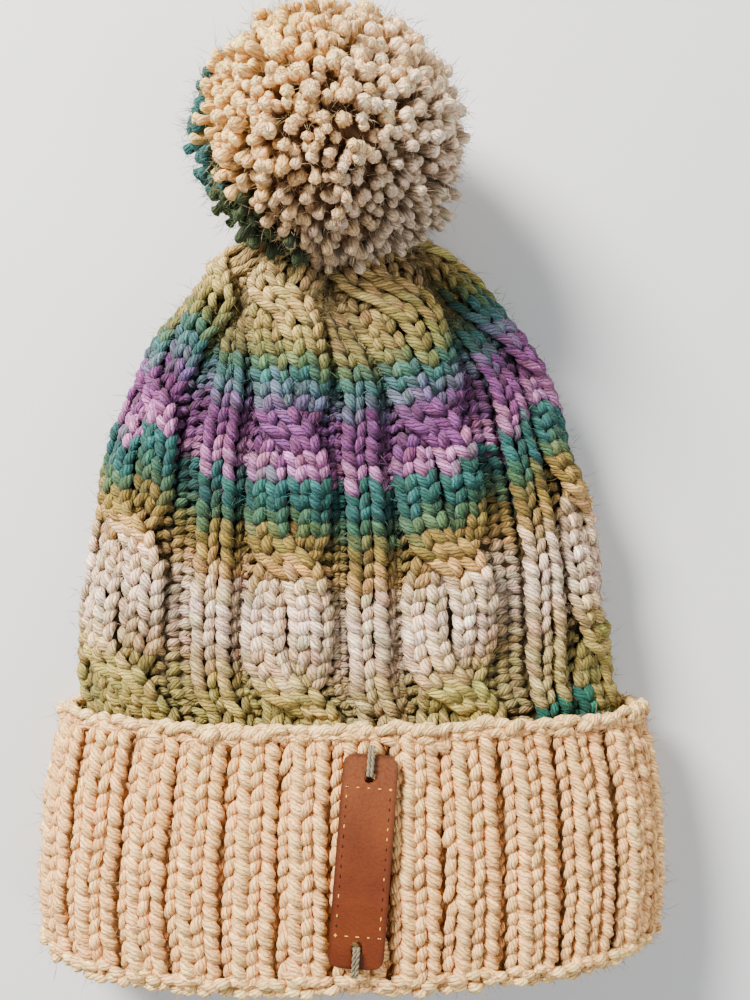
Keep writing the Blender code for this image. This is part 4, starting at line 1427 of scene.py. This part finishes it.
class HAT_OT_set_stage(bpy.types.Operator):
    """Lay the floor, hang the lamps and place the camera"""

    bl_idname = "hat.set_stage"
    bl_label = "Set stage"
    bl_options = {"REGISTER", "UNDO"}

    def execute(self, context):
        settings = context.scene.hat
        half = FLOOR_SIZE / 2
        mesh = bpy.data.meshes.new("floor")
        mesh.from_pydata(
            [(-half, -half, 0), (half, -half, 0), (half, half, 0), (-half, half, 0)], [], [(0, 1, 2, 3)]
        )
        floor = bpy.data.objects.new("floor", mesh)
        context.scene.collection.objects.link(floor)
        colour = (*settings.floor_colour, 1)
        mesh.materials.append(Shader("floor", 0.8, 0.5, {"Base Color": colour}).material)
        world = bpy.data.worlds.new("studio")
        world.use_nodes = True
        sky = world.node_tree.nodes["Background"]
        sky.inputs["Color"].default_value = SKY_COLOUR
        sky.inputs["Strength"].default_value = SKY_STRENGTH
        context.scene.world = world
        for name, place, size, share, tone in LAMPS:
            lamp = bpy.data.lights.new(name, "AREA")
            lamp.shape = "DISK"
            lamp.size = size
            lamp.energy = settings.lamp_power * share
            lamp.color = tone
            hung = bpy.data.objects.new(name, lamp)
            hung.location = place
            hung.rotation_euler = (-Vector(place)).to_track_quat("-Z", "Y").to_euler()
            context.scene.collection.objects.link(hung)
        data = bpy.data.cameras.new("camera")
        data.lens = CAMERA_LENS
        data.sensor_width = SENSOR
        data.sensor_fit = "AUTO"
        camera = bpy.data.objects.new("camera", data)
        camera.location = CAMERA_PLACE
        camera.rotation_euler = (0, 0, CAMERA_TURN)
        context.scene.collection.objects.link(camera)
        context.scene.camera = camera
        return {"FINISHED"}


OPERATORS = (
    HAT_OT_knit_crown,
    HAT_OT_knit_cuff,
    HAT_OT_tie_pompom,
    HAT_OT_sew_label,
    HAT_OT_set_stage,
)


class HAT_PT_panel(bpy.types.Panel):
    """The hat's steps, in order"""

    bl_idname = "HAT_PT_panel"
    bl_label = "Bobble hat"
    bl_space_type = "VIEW_3D"
    bl_region_type = "UI"
    bl_category = "Hat"

    def draw(self, context):
        """Lists the settings and the steps."""
        for name in HatSettings.__annotations__:
            self.layout.prop(context.scene.hat, name)
        for operator in OPERATORS:
            self.layout.operator(operator.bl_idname)


CLASSES = (HatSettings, *OPERATORS, HAT_PT_panel)


def register():
    """Adds the classes and the scene's settings to Blender."""
    for one in CLASSES:
        bpy.utils.register_class(one)
    bpy.types.Scene.hat = PointerProperty(type=HatSettings)


def unregister():
    """Takes the settings and the classes out again."""
    del bpy.types.Scene.hat
    for one in reversed(CLASSES):
        bpy.utils.unregister_class(one)


def main():
    """Makes every piece and the stage."""
    register()
    bpy.ops.hat.knit_crown()
    bpy.ops.hat.knit_cuff()
    bpy.ops.hat.tie_pompom()
    bpy.ops.hat.sew_label()
    bpy.ops.hat.set_stage()


if __name__ == "__main__":
    main()
